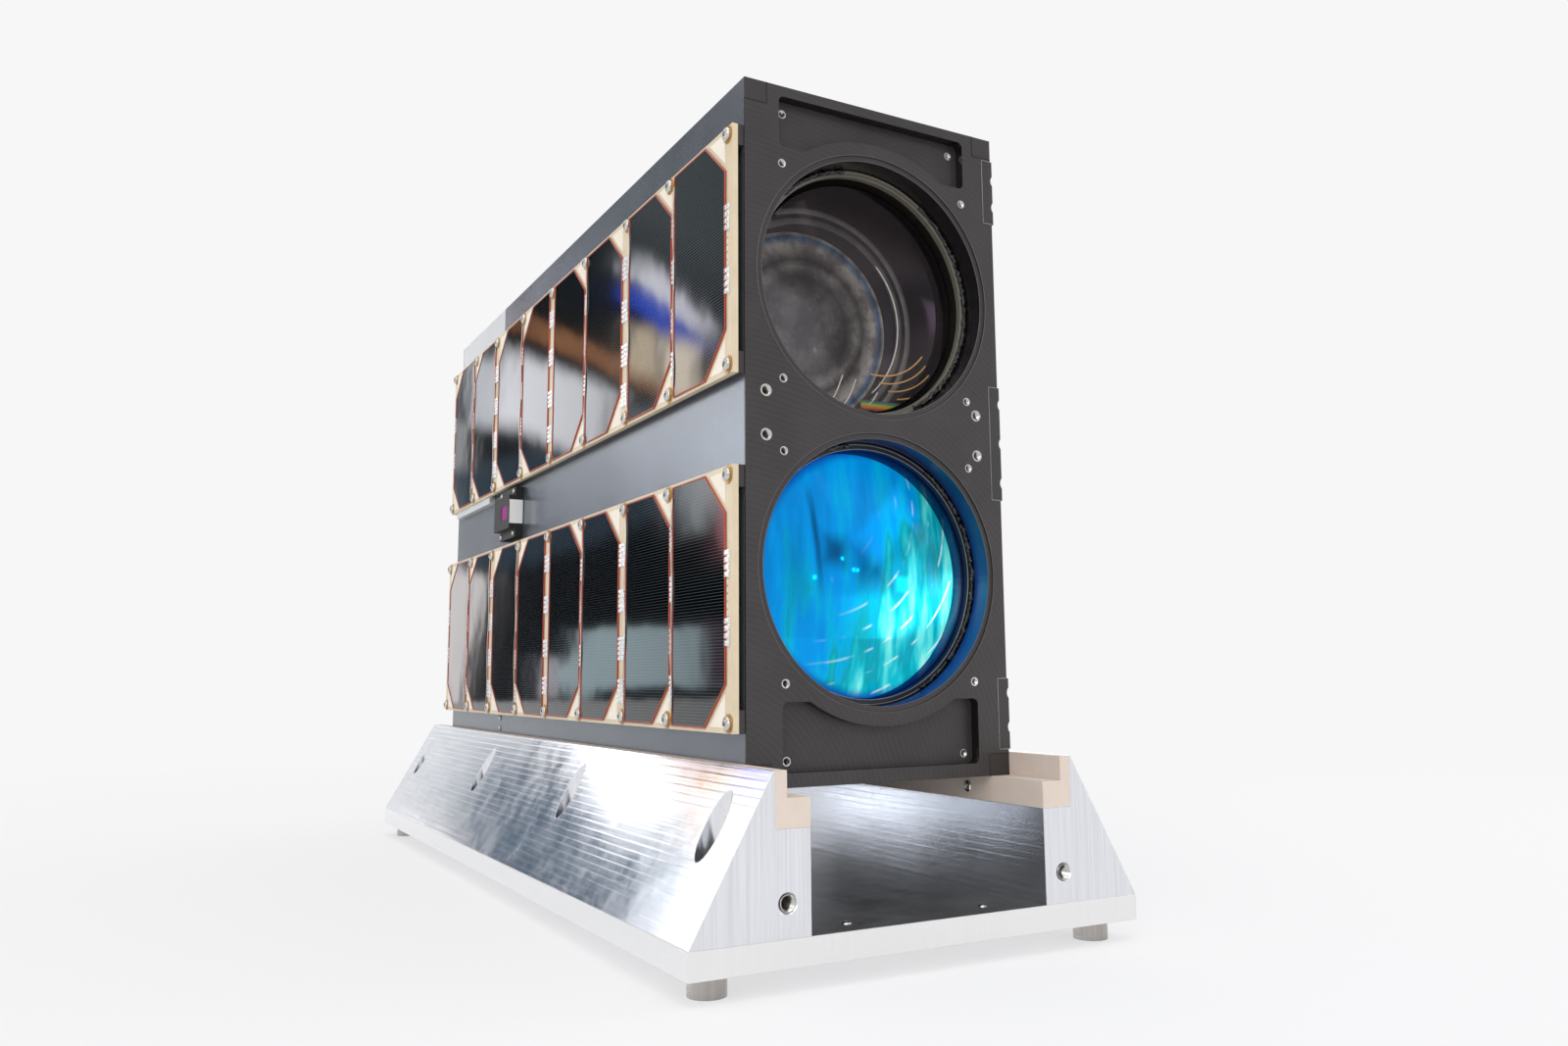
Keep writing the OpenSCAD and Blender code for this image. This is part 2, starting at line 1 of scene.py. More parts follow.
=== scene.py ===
"""Looks of a small imaging satellite that stands on its assembly cradle.

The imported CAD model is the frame. Each sub-assembly is a class that finishes its CAD nodes and
adds the small hardware round them: screws, inserts, solder, glass, adhesive and tooling marks.
Sizes are in millimetres until a mesh is made.
"""
from __future__ import annotations

import logging
import math
from dataclasses import dataclass
from enum import Enum

import bmesh
import bpy
from mathutils import Euler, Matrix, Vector


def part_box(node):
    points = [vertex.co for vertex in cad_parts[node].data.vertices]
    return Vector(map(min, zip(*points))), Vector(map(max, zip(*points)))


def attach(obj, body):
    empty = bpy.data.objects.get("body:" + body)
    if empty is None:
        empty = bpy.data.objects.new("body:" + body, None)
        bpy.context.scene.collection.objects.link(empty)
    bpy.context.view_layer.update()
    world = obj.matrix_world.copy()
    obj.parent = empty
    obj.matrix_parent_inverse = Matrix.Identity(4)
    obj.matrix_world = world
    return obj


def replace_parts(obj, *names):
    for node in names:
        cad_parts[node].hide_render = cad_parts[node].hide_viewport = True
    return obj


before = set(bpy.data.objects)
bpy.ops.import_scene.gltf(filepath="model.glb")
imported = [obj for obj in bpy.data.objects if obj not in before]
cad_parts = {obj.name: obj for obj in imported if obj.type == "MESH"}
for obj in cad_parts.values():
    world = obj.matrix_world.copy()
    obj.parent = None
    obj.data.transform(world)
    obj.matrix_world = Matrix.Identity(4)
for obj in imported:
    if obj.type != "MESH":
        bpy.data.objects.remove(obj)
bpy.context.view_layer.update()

MM = 0.001
WAVE_PERIOD = 2 * math.pi / 20  # length of one band of a wave texture at scale 1
log = logging.getLogger("satellite")
MADE_FINISHES: dict[str, bpy.types.Material] = {}

Object = bpy.types.Object
Tree = bpy.types.NodeTree
Node = bpy.types.Node
Socket = bpy.types.NodeSocket
Point = tuple[float, float, float]
Pair = tuple[float, float]
Ring = tuple[float, float, bool]  # radius, height, and whether it is a hexagon
Face = tuple[int, ...]
Seat = tuple[Point, Point]  # where a piece of hardware sits, and the axis that points out
Box = tuple[Point, Point]  # two far corners
Stops = tuple[tuple[float, str], ...]  # a colour band's places and colours

EVEN: Point = (1.0, 1.0, 1.0)
ROUND_Y: Point = (1.0, 0.0, 1.0)  # drops the depth, which leaves the distance from an axis along Y
LEFT: Point = (-1.0, 0.0, 0.0)
RIGHT: Point = (1.0, 0.0, 0.0)
FRONT: Point = (0.0, -1.0, 0.0)
BACK: Point = (0.0, 1.0, 0.0)
UP: Point = (0.0, 0.0, 1.0)


class Level(Enum):
    """Which of the two lens apertures and solar panels a piece belongs to."""

    UPPER = "upper"
    LOWER = "lower"


class Half(Enum):
    """Which half of the room a shape stands in, by the sign of its direction's Y."""

    AHEAD = -1.0
    BEHIND = 1.0


class Marks(Enum):
    """How a metal surface was cut: the wave's type, and the axis that it runs about or across."""

    ARCS = ("RINGS", "Y")
    ALONG = ("BANDS", "Z")
    TURNED = ("BANDS", "Y")


def srgb(text: str) -> tuple[float, float, float, float]:
    """Turns an sRGB hex colour into the linear colour that a shader takes.

    Args:
        text: the colour, such as "#3a3739".

    Returns:
        Linear red, green and blue, and an alpha of 1.
    """
    parts = [int(text[i:i + 2], 16) / 255 for i in (1, 3, 5)]
    linear = [c / 12.92 if c <= 0.04045 else ((c + 0.055) / 1.055) ** 2.4 for c in parts]
    return (linear[0], linear[1], linear[2], 1.0)


def feed(tree: Tree, node: Node, inputs: dict) -> None:
    """Sets or links a node's inputs.

    Args:
        tree: the node's tree.
        node: the node.
        inputs: for each input's name or index, a value, or a socket or a node to link from. A
            node stands for its first output.
    """
    for name, value in inputs.items():
        if isinstance(value, Node):
            value = value.outputs[0]
        if isinstance(value, Socket):
            tree.links.new(value, node.inputs[name])
        else:
            node.inputs[name].default_value = value


def add(tree: Tree, kind: str, inputs: dict | None = None, **settings) -> Node:
    """Adds a node to a tree, with its settings, values and links.

    Args:
        tree: the tree that takes the node.
        kind: the node's type name.
        inputs: what feed takes.
        settings: the node's own properties.

    Returns:
        The new node.
    """
    node = tree.nodes.new(kind)
    for name, value in settings.items():
        setattr(node, name, value)
    feed(tree, node, inputs or {})
    return node


def fill_band(band: bpy.types.ColorRamp, stops: Stops) -> None:
    """Gives a colour band its stops.

    Args:
        band: the band, as new, with its two stops.
        stops: each stop's place and colour, from the lowest to the highest.
    """
    for element, (position, colour) in zip(band.elements, (stops[0], stops[-1])):
        element.position, element.color = position, srgb(colour)
    for position, colour in stops[1:-1]:
        band.elements.new(position).color = srgb(colour)


def box_mm(node: str) -> tuple[Vector, Vector]:
    """Returns a CAD node's lowest and highest corners in millimetres."""
    low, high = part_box(node)
    return low / MM, high / MM


# ---- finishes ----


@dataclass(frozen=True)
class Finish:
    """A surface finish: a plain colour, and the pattern that a subclass adds to it."""

    name: str
    slot: str
    colour: str
    roughness: float = 0.5
    metallic: float = 0.0

    def material(self) -> bpy.types.Material:
        """Returns the finish's material, made the first time it is asked for."""
        if self.name in MADE_FINISHES:
            return MADE_FINISHES[self.name]
        made = MADE_FINISHES[self.name] = bpy.data.materials.new(f"{self.name}_finish")
        made.use_nodes = True
        tree = made.node_tree
        shader = tree.nodes["Principled BSDF"]
        feed(tree, shader, {
            "Base Color": srgb(self.colour), "Roughness": self.roughness, "Metallic": self.metallic,
        })
        self.pattern(tree, shader)
        return made

    def pattern(self, tree: Tree, shader: Node) -> None:
        """Adds the finish's own nodes.

        Args:
            tree: the material's tree.
            shader: its Principled node.
        """
        self.mottle(tree, shader, self.colour, self.colour, 3.0, 0.06)

    def place(self, tree: Tree, stretch: Point = EVEN,
              centre: Point = (0.0, 0.0, 0.0)) -> Socket:
        """Reads the piece's own coordinates, stretched and centred for a pattern.

        Args:
            tree: the material's tree.
            stretch: how much finer the pattern is along each axis.
            centre: the pattern's centre in millimetres.

        Returns:
            The vector socket.
        """
        where = add(tree, "ShaderNodeTexCoord")
        moved = add(tree, "ShaderNodeMapping", {
            "Vector": where.outputs["Object"],
            "Location": tuple(-c * MM * s for c, s in zip(centre, stretch)),
            "Scale": stretch,
        })
        return moved.outputs["Vector"]

    def mottle(self, tree: Tree, shader: Node, dark: str, light: str,
               feature: float, spread: float) -> Socket:
        """Varies the colour and the roughness over patches of a real size.

        Args:
            tree: the material's tree.
            shader: its Principled node.
            dark: the darker colour.
            light: the lighter colour.
            feature: the patches' size in millimetres.
            spread: how far the roughness varies.

        Returns:
            The patches' value, from 0 to 1.
        """
        patches = add(tree, "ShaderNodeTexNoise", {
            "Vector": self.place(tree), "Scale": 1 / (feature * MM), "Detail": 4.0, "Roughness": 0.6,
        }).outputs["Fac"]
        tinted = add(tree, "ShaderNodeMix", {0: patches, 6: srgb(dark), 7: srgb(light)}, data_type="RGBA")
        rough = add(tree, "ShaderNodeMapRange", {
            "Value": patches, "To Min": self.roughness - spread, "To Max": self.roughness + spread,
        })
        feed(tree, shader, {"Base Color": tinted.outputs[2], "Roughness": rough})
        return patches

    def relief(self, tree: Tree, shader: Node, height: Socket, depth: float, edge: float = 0.2) -> None:
        """Turns a height into bump, over edges broken by a small radius.

        Args:
            tree: the material's tree.
            shader: its Principled node.
            height: the height's socket, from 0 to 1.
            depth: the relief's depth in millimetres.
            edge: the broken edge's radius in millimetres.
        """
        broken = add(tree, "ShaderNodeBevel", {"Radius": edge * MM}, samples=4)
        bump = add(tree, "ShaderNodeBump", {"Height": height, "Distance": depth * MM, "Normal": broken})
        feed(tree, shader, {"Normal": bump})


@dataclass(frozen=True)
class Anodised(Finish):
    """Anodised aluminium: a dyed oxide that is satin and slightly warm, over tool marks."""

    light: str = "#4a4647"
    marks: Marks = Marks.ARCS
    patch: float = 22.0
    arc_centre: Point = (-64.0, 0.0, 40.0)
    pitch: float = 1.9  # true feeds are nearer 0.2 mm, and are drawn coarser so that they show
    depth: float = 0.012
    mark_share: float = 0.22
    # Painted shade for the walls, and painted blue light from the lower lens on them
    wall_shade: str | None = None
    wall_smoother: float = 0.2
    painted_lens_light: str = "#084488"
    lit_centre: Point = (0.0, 0.0, 120.0)
    lit_radius: float = 45.2
    lit_top: float = 40.0
    lit_foot: float = -15.0
    lit_least: float = 0.3
    edge: float = 0.2
    gloss: float = 0.5

    def pattern(self, tree: Tree, shader: Node) -> None:
        """Adds faint patches of dye, the mill's arcs or passes, painted shade on the walls, and painted blue
        light on them round the lower lens.
        """
        patches = self.mottle(tree, shader, self.colour, self.light, self.patch, 0.05)
        feed(tree, shader, {"Specular IOR Level": self.gloss})
        wave, axis = self.marks.value
        cut = add(tree, "ShaderNodeTexWave", {
            "Vector": self.place(tree, centre=self.arc_centre),
            "Scale": WAVE_PERIOD / (self.pitch * MM), "Distortion": 3.0, "Detail": 2.0,
            "Detail Scale": 0.06,
        }, wave_type=wave, rings_direction=axis, bands_direction=axis)
        both = add(tree, "ShaderNodeMath", {
            0: cut.outputs["Fac"], 1: self.mark_share, 2: patches,
        }, operation="MULTIPLY_ADD")
        tone = add(tree, "ShaderNodeMapRange", {"Value": both, "From Min": 0.25, "From Max": 0.95})
        tint = add(tree, "ShaderNodeMix", {
            0: tone, 6: srgb(self.colour), 7: srgb(self.light),
        }, data_type="RGBA")
        colour = tint.outputs[2]
        # Painted shade: faces that don't face along Y, such as the bore and pocket walls, take the darker
        # wall shade colour
        if self.wall_shade:
            facing = add(tree, "ShaderNodeSeparateXYZ",
                         {0: add(tree, "ShaderNodeNewGeometry").outputs["Normal"]})
            face = add(tree, "ShaderNodeMath", {0: facing.outputs["Y"]}, operation="ABSOLUTE")
            # Painted light: the walls round the lower lens take a blue tint for the light that the blue lens
            # throws on them, most of all below
            here = self.place(tree, ROUND_Y, self.lit_centre)
            out = add(tree, "ShaderNodeVectorMath", {0: here}, operation="LENGTH")
            near = add(tree, "ShaderNodeMath", {0: out.outputs["Value"], 1: self.lit_radius * MM},
                       operation="LESS_THAN")
            rise = add(tree, "ShaderNodeMapRange", {
                "Value": add(tree, "ShaderNodeSeparateXYZ", {0: here}).outputs["Z"],
                "From Min": self.lit_top * MM, "From Max": self.lit_foot * MM, "To Min": self.lit_least,
            })
            lit = add(tree, "ShaderNodeMath", {0: near, 1: rise}, operation="MULTIPLY")
            wall_shade = add(tree, "ShaderNodeMix", {0: lit, 6: srgb(self.wall_shade), 7: srgb(self.painted_lens_light)},
                       data_type="RGBA")
            colour = add(tree, "ShaderNodeMix", {0: face, 6: wall_shade.outputs[2], 7: colour},
                         data_type="RGBA").outputs[2]
            smooth = add(tree, "ShaderNodeMapRange", {
                "Value": face, "To Min": self.roughness - self.wall_smoother, "To Max": self.roughness,
            })
            feed(tree, shader, {"Roughness": smooth})
        feed(tree, shader, {"Base Color": colour})
        height = add(tree, "ShaderNodeMath", {0: cut.outputs["Fac"], 1: patches}, operation="ADD")
        self.relief(tree, shader, height.outputs[0], self.depth, self.edge)


@dataclass(frozen=True)
class Blasted(Finish):
    """Bead-blasted and anodised sheet: an even satin grey with a fine sandy grain."""

    light: str = "#70757d"
    patch: float = 40.0
    grain: float = 0.35
    depth: float = 0.02

    def pattern(self, tree: Tree, shader: Node) -> None:
        """Adds broad patches of tone, and the blasted grain."""
        self.mottle(tree, shader, self.colour, self.light, self.patch, 0.05)
        sand = add(tree, "ShaderNodeTexNoise", {
            "Vector": self.place(tree), "Scale": 1 / (self.grain * MM), "Detail": 2.0,
        })
        self.relief(tree, shader, sand.outputs["Fac"], self.depth)


@dataclass(frozen=True)
class Milled(Finish):
    """Bare milled aluminium: near a mirror, with fine streaks and a line at each pass's edge."""

    dark: str = "#d3d6db"
    painted_end_shade: str = "#e4e4e7"
    streak: float = 0.7
    length: float = 40.0
    cloud: float = 14.0
    depth: float = 0.01
    edge: float = 0.35
    stretch: float = 0.35
    step_over: float = 2.3
    step_depth: float = 0.0
    level_rise: float = 0.9  # a normal's upward share, from which a face counts as level
    slope_rise: float = 0.49  # the upward share of the slopes' normals
    slope_slack: float = 0.12
    lean: float = 0.0

    def pattern(self, tree: Tree, shader: Node) -> None:
        """Adds streaks along the part, upright ones on its ends, clouds, the pass lines, and painted shade on
        the end faces.
        """
        fine, coarse = 1 / (self.streak * MM), 1 / (self.length * MM)
        along = add(tree, "ShaderNodeTexNoise", {
            "Vector": self.place(tree, (fine, coarse, fine)), "Scale": 1.0, "Detail": 3.0,
        })
        upright = add(tree, "ShaderNodeTexNoise", {
            "Vector": self.place(tree, (fine, fine, coarse)), "Scale": 1.0, "Detail": 3.0,
        })
        facing = add(tree, "ShaderNodeSeparateXYZ", {0: add(tree, "ShaderNodeNewGeometry").outputs["Normal"]})
        end_face = add(tree, "ShaderNodeMath", {0: facing.outputs["Y"]}, operation="ABSOLUTE")
        streaks = add(tree, "ShaderNodeMix", {
            0: end_face, 2: along.outputs["Fac"], 3: upright.outputs["Fac"],
        })
        clouds = add(tree, "ShaderNodeTexNoise", {
            "Vector": self.place(tree), "Scale": 1 / (self.cloud * MM), "Detail": 5.0, "Roughness": 0.7,
        })
        rough = add(tree, "ShaderNodeMapRange", {
            "Value": clouds.outputs["Fac"], "From Min": 0.35, "From Max": 0.65,
            "To Min": self.roughness * 0.7, "To Max": self.roughness * 1.35,
        })
        # Pass lines are evenly spaced up the slope, so height alone places them
        passes = add(tree, "ShaderNodeTexWave", {
            "Vector": self.place(tree), "Scale": WAVE_PERIOD / (self.step_over * MM), "Distortion": 0.4,
        }, bands_direction="Z", wave_profile="SAW")
        groove = add(tree, "ShaderNodeMapRange", {
            "Value": passes.outputs["Fac"], "From Min": 0.8, "From Max": 1.0, "To Min": 1.0, "To Max": 0.0,
        })
        not_end = add(tree, "ShaderNodeMath", {0: 1.0, 1: end_face}, operation="SUBTRACT")
        marks = add(tree, "ShaderNodeMath", {0: groove, 1: not_end}, operation="MULTIPLY")
        height = add(tree, "ShaderNodeMath", {
            0: marks, 1: self.step_depth / self.depth, 2: streaks,
        }, operation="MULTIPLY_ADD")
        tint = add(tree, "ShaderNodeMix", {
            0: streaks, 6: srgb(self.dark), 7: srgb(self.colour),
        }, data_type="RGBA")
        # Painted shade: faces that face along Y are multiplied by the end shade colour for how light falls on
        # them
        ends = add(tree, "ShaderNodeMix", {
            0: end_face, 6: tint.outputs[2], 7: srgb(self.painted_end_shade),
        }, data_type="RGBA", blend_type="MULTIPLY")
        feed(tree, shader, {"Base Color": ends.outputs[2], "Roughness": rough})
        rise = add(tree, "ShaderNodeMath", {0: facing.outputs["Z"]}, operation="ABSOLUTE")
        level = add(tree, "ShaderNodeMath", {0: rise, 1: self.level_rise}, operation="GREATER_THAN")
        sideways = add(tree, "ShaderNodeMath", {0: level, 1: end_face}, operation="MAXIMUM")
        across = add(tree, "ShaderNodeMix", {0: sideways, 4: UP, 5: RIGHT}, data_type="VECTOR")
        feed(tree, shader, {"Tangent": across.outputs[1], "Anisotropic": self.stretch})
        self.relief(tree, shader, height.outputs[0], self.depth, self.edge)
        if self.lean:
            # Each pass along the slope leaves a shallow scallop, whose facets lean downwards
            bump = shader.inputs["Normal"].links[0].from_socket
            slope = add(tree, "ShaderNodeMath", {0: rise, 1: self.slope_rise, 2: self.slope_slack},
                        operation="COMPARE")
            tip = add(tree, "ShaderNodeMath", {0: slope, 1: self.lean}, operation="MULTIPLY")
            down = add(tree, "ShaderNodeCombineXYZ", {2: tip})
            leant = add(tree, "ShaderNodeVectorMath", {0: bump, 1: down})
            even = add(tree, "ShaderNodeVectorMath", {0: leant}, operation="NORMALIZE")
            feed(tree, shader, {"Normal": even})


@dataclass(frozen=True)
class Polished(Finish):
    """Turned and polished metal of a screw or pin: smooth, with a slight change of tone."""

    dark: str = "#9b9994"
    stain: float = 1.2
    depth: float = 0.02
    edge: float = 0.12

    def pattern(self, tree: Tree, shader: Node) -> None:
        """Adds slight stains, and broken edges."""
        patches = self.mottle(tree, shader, self.dark, self.colour, self.stain, 0.06)
        self.relief(tree, shader, patches, self.depth, self.edge)


@dataclass(frozen=True)
class Moulded(Finish):
    """A machined or moulded plastic or ceramic: matt, with a faint cutter's grain."""

    light: str = "#e0d2c4"
    patch: float = 9.0
    grain: float = 0.8
    along: float = 0.15  # the grain is this much finer along Y, so it runs that way
    depth: float = 0.02

    def pattern(self, tree: Tree, shader: Node) -> None:
        """Adds a slight change of tone and a fine grain."""
        self.mottle(tree, shader, self.colour, self.light, self.patch, 0.05)
        grain = add(tree, "ShaderNodeTexNoise", {
            "Vector": self.place(tree, (1.0, self.along, 1.0)), "Scale": 1 / (self.grain * MM), "Detail": 3.0,
        })
        self.relief(tree, shader, grain.outputs["Fac"], self.depth)


@dataclass(frozen=True)
class SolarGlass(Finish):
    """A solar cell under cover glass: near black, mirror-like, with thin printed grid fingers."""

    finger: str = "#3f464b"
    finger_pitch: float = 1.0  # the print's pitch, drawn so that it just shows
    finger_share: float = 0.2
    swell: float = 35.0
    depth: float = 0.1
    edge: float = 0.05

    def pattern(self, tree: Tree, shader: Node) -> None:
        """Adds the grid fingers, and the slight waviness of the cover glass."""
        height = add(tree, "ShaderNodeSeparateXYZ", {0: self.place(tree)})
        turns = add(tree, "ShaderNodeMath", {0: height.outputs["Z"], 1: 1 / (self.finger_pitch * MM)},
                    operation="MULTIPLY")
        part = add(tree, "ShaderNodeMath", {0: turns}, operation="FRACT")
        finger = add(tree, "ShaderNodeMath", {0: part, 1: self.finger_share}, operation="LESS_THAN")
        tint = add(tree, "ShaderNodeMix", {
            0: finger, 6: srgb(self.colour), 7: srgb(self.finger),
        }, data_type="RGBA")
        feed(tree, shader, {"Base Color": tint.outputs[2]})
        swell = add(tree, "ShaderNodeTexNoise", {"Vector": self.place(tree), "Scale": 1 / (self.swell * MM)})
        self.relief(tree, shader, swell.outputs["Fac"], self.depth, self.edge)


@dataclass(frozen=True)
class Solder(Finish):
    """Reflowed solder: bright tin, lumpy where it set."""

    light: str = "#f4f4f2"
    patch: float = 0.9
    lump: float = 0.8
    depth: float = 0.12
    edge: float = 0.1

    def pattern(self, tree: Tree, shader: Node) -> None:
        """Adds the lumps of the set solder."""
        self.mottle(tree, shader, self.colour, self.light, self.patch, 0.1)
        lumps = add(tree, "ShaderNodeTexNoise", {
            "Vector": self.place(tree), "Scale": 1 / (self.lump * MM), "Detail": 4.0,
        })
        self.relief(tree, shader, lumps.outputs["Fac"], self.depth, self.edge)


@dataclass(frozen=True)
class ClearGlass(Finish):
    """Optical glass with an antireflection coating: clear, with a low tinted gloss."""

    ior: float = 1.36  # the coating's low reflection, more than the glass's own bend
    sheen: str = "#d0bcc6"
    clearness: Point = (0.92, 0.92, 0.93)

    def pattern(self, tree: Tree, shader: Node) -> None:
        """Makes the surface clear, and lets lamps light what is behind it."""
        feed(tree, shader, {
            "Transmission Weight": 1.0, "Specular Tint": srgb(self.sheen), "IOR": self.ior,
        })
        rays = add(tree, "ShaderNodeLightPath")
        open_way = add(tree, "ShaderNodeBsdfTransparent", {"Color": (*self.clearness, 1.0)})
        both = add(tree, "ShaderNodeMixShader", {
            0: rays.outputs["Is Shadow Ray"], 1: shader, 2: open_way,
        })
        output = tree.nodes["Material Output"]
        tree.links.new(both.outputs[0], output.inputs["Surface"])


@dataclass(frozen=True)
class MirrorCoat(Finish):
    """A dichroic coating on glass: a coloured mirror from azure over teal to pale cyan.

    The coating's thickness drifts over the lens, so its colour does too, partly with a painted
    reflection of the room that brightens to the lower right; painted white highlight streaks lie
    near its foot. The bare glass over it adds white glints. The shading normal is flatter than the
    dome, as on a deep inner surface.
    """

    centre: Point = (0.0, 0.0, 120.0)
    radius: float = 41.6
    stops: Stops = (
        (0.0, "#0290e2"), (0.2, "#019ff2"), (0.38, "#02b6ea"), (0.5, "#0aa8b8"), (0.6, "#1ac8dc"),
        (0.72, "#6af0ec"), (0.92, "#dcfff8"),
    )
    flatness: float = 0.82
    middle: float = 0.42
    side_drift: float = 0.36
    rise_drift: float = -0.2
    drape_drift: float = 1.15
    lowered: float = 0.6
    drape: float = 14.0
    drape_stretch: Point = (2.2, 1.0, 0.45)
    rim: str = "#0b4fb0"
    rim_from: float = 0.9
    streak: str = "#e8fbfb"
    painted_glint_pitch: float = 7.3
    painted_glint_aside: float = -22.0
    painted_glint_above: float = 26.0
    painted_glint_most: float = 0.75
    painted_glint_gap: float = 8.0
    clear_coat_ior: float = 1.16  # a coated surface, which reflects less than bare glass

    def pattern(self, tree: Tree, shader: Node) -> None:
        """Adds the drift of colour with its painted reflection, the painted highlight streaks near the foot,
        the rim, and the flatter normal.
        """
        reach = self.radius * MM
        parts = add(tree, "ShaderNodeSeparateXYZ", {0: self.place(tree, centre=self.centre)})
        # Colour drift: partly the coating's own, partly a painted reflection that brightens to the lower
        # right
        across = add(tree, "ShaderNodeMath", {
            0: parts.outputs["X"], 1: self.side_drift / reach, 2: self.middle,
        }, operation="MULTIPLY_ADD")
        down = add(tree, "ShaderNodeMath", {
            0: parts.outputs["Z"], 1: self.rise_drift / reach, 2: across,
        }, operation="MULTIPLY_ADD")
        drapes = add(tree, "ShaderNodeTexNoise", {
            "Vector": self.place(tree, self.drape_stretch, self.centre), "Scale": 1 / (self.drape * MM),
            "Detail": 3.0,
        })
        drift = add(tree, "ShaderNodeMath", {
            0: drapes.outputs["Fac"], 1: self.drape_drift, 2: down,
        }, operation="MULTIPLY_ADD")
        low = add(tree, "ShaderNodeMath", {0: drift, 1: self.lowered}, operation="SUBTRACT")
        ramp = add(tree, "ShaderNodeValToRGB", {0: low})
        fill_band(ramp.color_ramp, self.stops)
        # Painted highlights: thin curved white streaks low on the lens, broken into short runs, stand in for
        # reflections
        arc_centre = (self.centre[0] + self.painted_glint_aside, 0.0, self.centre[2] + self.painted_glint_above)
        arcs = add(tree, "ShaderNodeTexWave", {
            "Vector": self.place(tree, centre=arc_centre), "Scale": WAVE_PERIOD / (self.painted_glint_pitch * MM),
            "Distortion": 4.5, "Detail": 1.0, "Detail Scale": 0.15,
        }, wave_type="RINGS", rings_direction="Y")
        thin = add(tree, "ShaderNodeMapRange", {
            "Value": arcs.outputs["Fac"], "From Min": 0.955, "From Max": 0.99,
        })
        foot = add(tree, "ShaderNodeMapRange", {
            "Value": down, "From Min": 0.34, "From Max": 0.6, "To Max": self.painted_glint_most,
        })
        gaps = add(tree, "ShaderNodeTexNoise", {
            "Vector": self.place(tree), "Scale": 1 / (self.painted_glint_gap * MM), "Detail": 1.0,
        })
        broken = add(tree, "ShaderNodeMapRange", {
            "Value": gaps.outputs["Fac"], "From Min": 0.5, "From Max": 0.6, "To Max": foot,
        })
        shown = add(tree, "ShaderNodeMath", {0: thin, 1: broken}, operation="MULTIPLY")
        tint = add(tree, "ShaderNodeMix", {0: shown, 6: ramp, 7: srgb(self.streak)}, data_type="RGBA")
        out = add(tree, "ShaderNodeVectorMath", {0: self.place(tree, ROUND_Y, self.centre)},
                  operation="LENGTH")
        rim = add(tree, "ShaderNodeMapRange", {
            "Value": out.outputs["Value"], "From Min": self.rim_from * reach, "From Max": reach,
        }, interpolation_type="SMOOTHSTEP")
        edged = add(tree, "ShaderNodeMix", {0: rim, 6: tint.outputs[2], 7: srgb(self.rim)},
                    data_type="RGBA")
        feed(tree, shader, {"Base Color": edged.outputs[2]})
        normal = add(tree, "ShaderNodeNewGeometry").outputs["Normal"]
        flat = add(tree, "ShaderNodeMix", {0: self.flatness, 4: normal, 5: FRONT}, data_type="VECTOR")
        even = add(tree, "ShaderNodeVectorMath", {0: flat.outputs[1]}, operation="NORMALIZE")
        feed(tree, shader, {
            "Normal": even, "Coat Weight": 1.0, "Coat Roughness": 0.02, "Coat IOR": self.clear_coat_ior,
        })


@dataclass(frozen=True)
class DeepGlass(Finish):
    """A thick inner lens over a dark assembly: grey zones about its axis, with a painted highlight and
    coloured fringe at its rim.
    """

    centre: Point = (0.0, 0.0, 216.0)
    radius: float = 33.0
    stain: Pair = (0.55, 1.35)  # how far a stain and a clean place change the zones' brightness
    stain_size: float = 7.0
    coat: float = 0.8
    zones: Stops = (
        (0.0, "#403f3e"), (0.3, "#6c6a67"), (0.5, "#4b4946"), (0.62, "#918e87"), (0.7, "#555350"),
        (0.86, "#cbc5b9"), (0.95, "#4a80b0"), (1.0, "#e2d5ae"),
    )

    def pattern(self, tree: Tree, shader: Node) -> None:
        """Adds the zones, whose pale bands and coloured fringe are painted highlights, and darker stains."""
        here = self.place(tree, ROUND_Y, self.centre)
        out = add(tree, "ShaderNodeVectorMath", {0: here}, operation="LENGTH")
        stains = add(tree, "ShaderNodeTexNoise", {
            "Vector": self.place(tree), "Scale": 1 / (self.stain_size * MM), "Detail": 4.0, "Roughness": 0.65,
        })
        share = add(tree, "ShaderNodeMath", {0: out.outputs["Value"], 1: 1 / (self.radius * MM)},
                    operation="MULTIPLY")
        ramp = add(tree, "ShaderNodeValToRGB", {0: share})
        fill_band(ramp.color_ramp, self.zones)
        dark = add(tree, "ShaderNodeMapRange", {
            "Value": stains.outputs["Fac"], "From Min": 0.42, "From Max": 0.62,
            "To Min": self.stain[0], "To Max": self.stain[1],
        })
        tint = add(tree, "ShaderNodeVectorMath", {0: ramp, "Scale": dark}, operation="SCALE")
        feed(tree, shader, {"Base Color": tint, "Coat Weight": self.coat, "Coat Roughness": 0.03})


@dataclass(frozen=True)
class Spectrum(Finish):
    """Light split by the lens's edge on the bore: red at the foot, over green, to blue."""

    low: float = 178.2
    high: float = 181.6
    bands: Stops = (
        (0.0, "#a8381f"), (0.3, "#d4852a"), (0.5, "#c4bc3c"), (0.72, "#3f8f48"), (1.0, "#26307c"),
    )

    def pattern(self, tree: Tree, shader: Node) -> None:
        """Runs the colours up the piece."""
        parts = add(tree, "ShaderNodeSeparateXYZ", {0: self.place(tree)})
        rise = add(tree, "ShaderNodeMapRange", {
            "Value": parts.outputs["Z"], "From Min": self.low * MM, "From Max": self.high * MM,
        })
        ramp = add(tree, "ShaderNodeValToRGB", {0: rise})
        fill_band(ramp.color_ramp, self.bands)
        feed(tree, shader, {"Base Color": ramp})


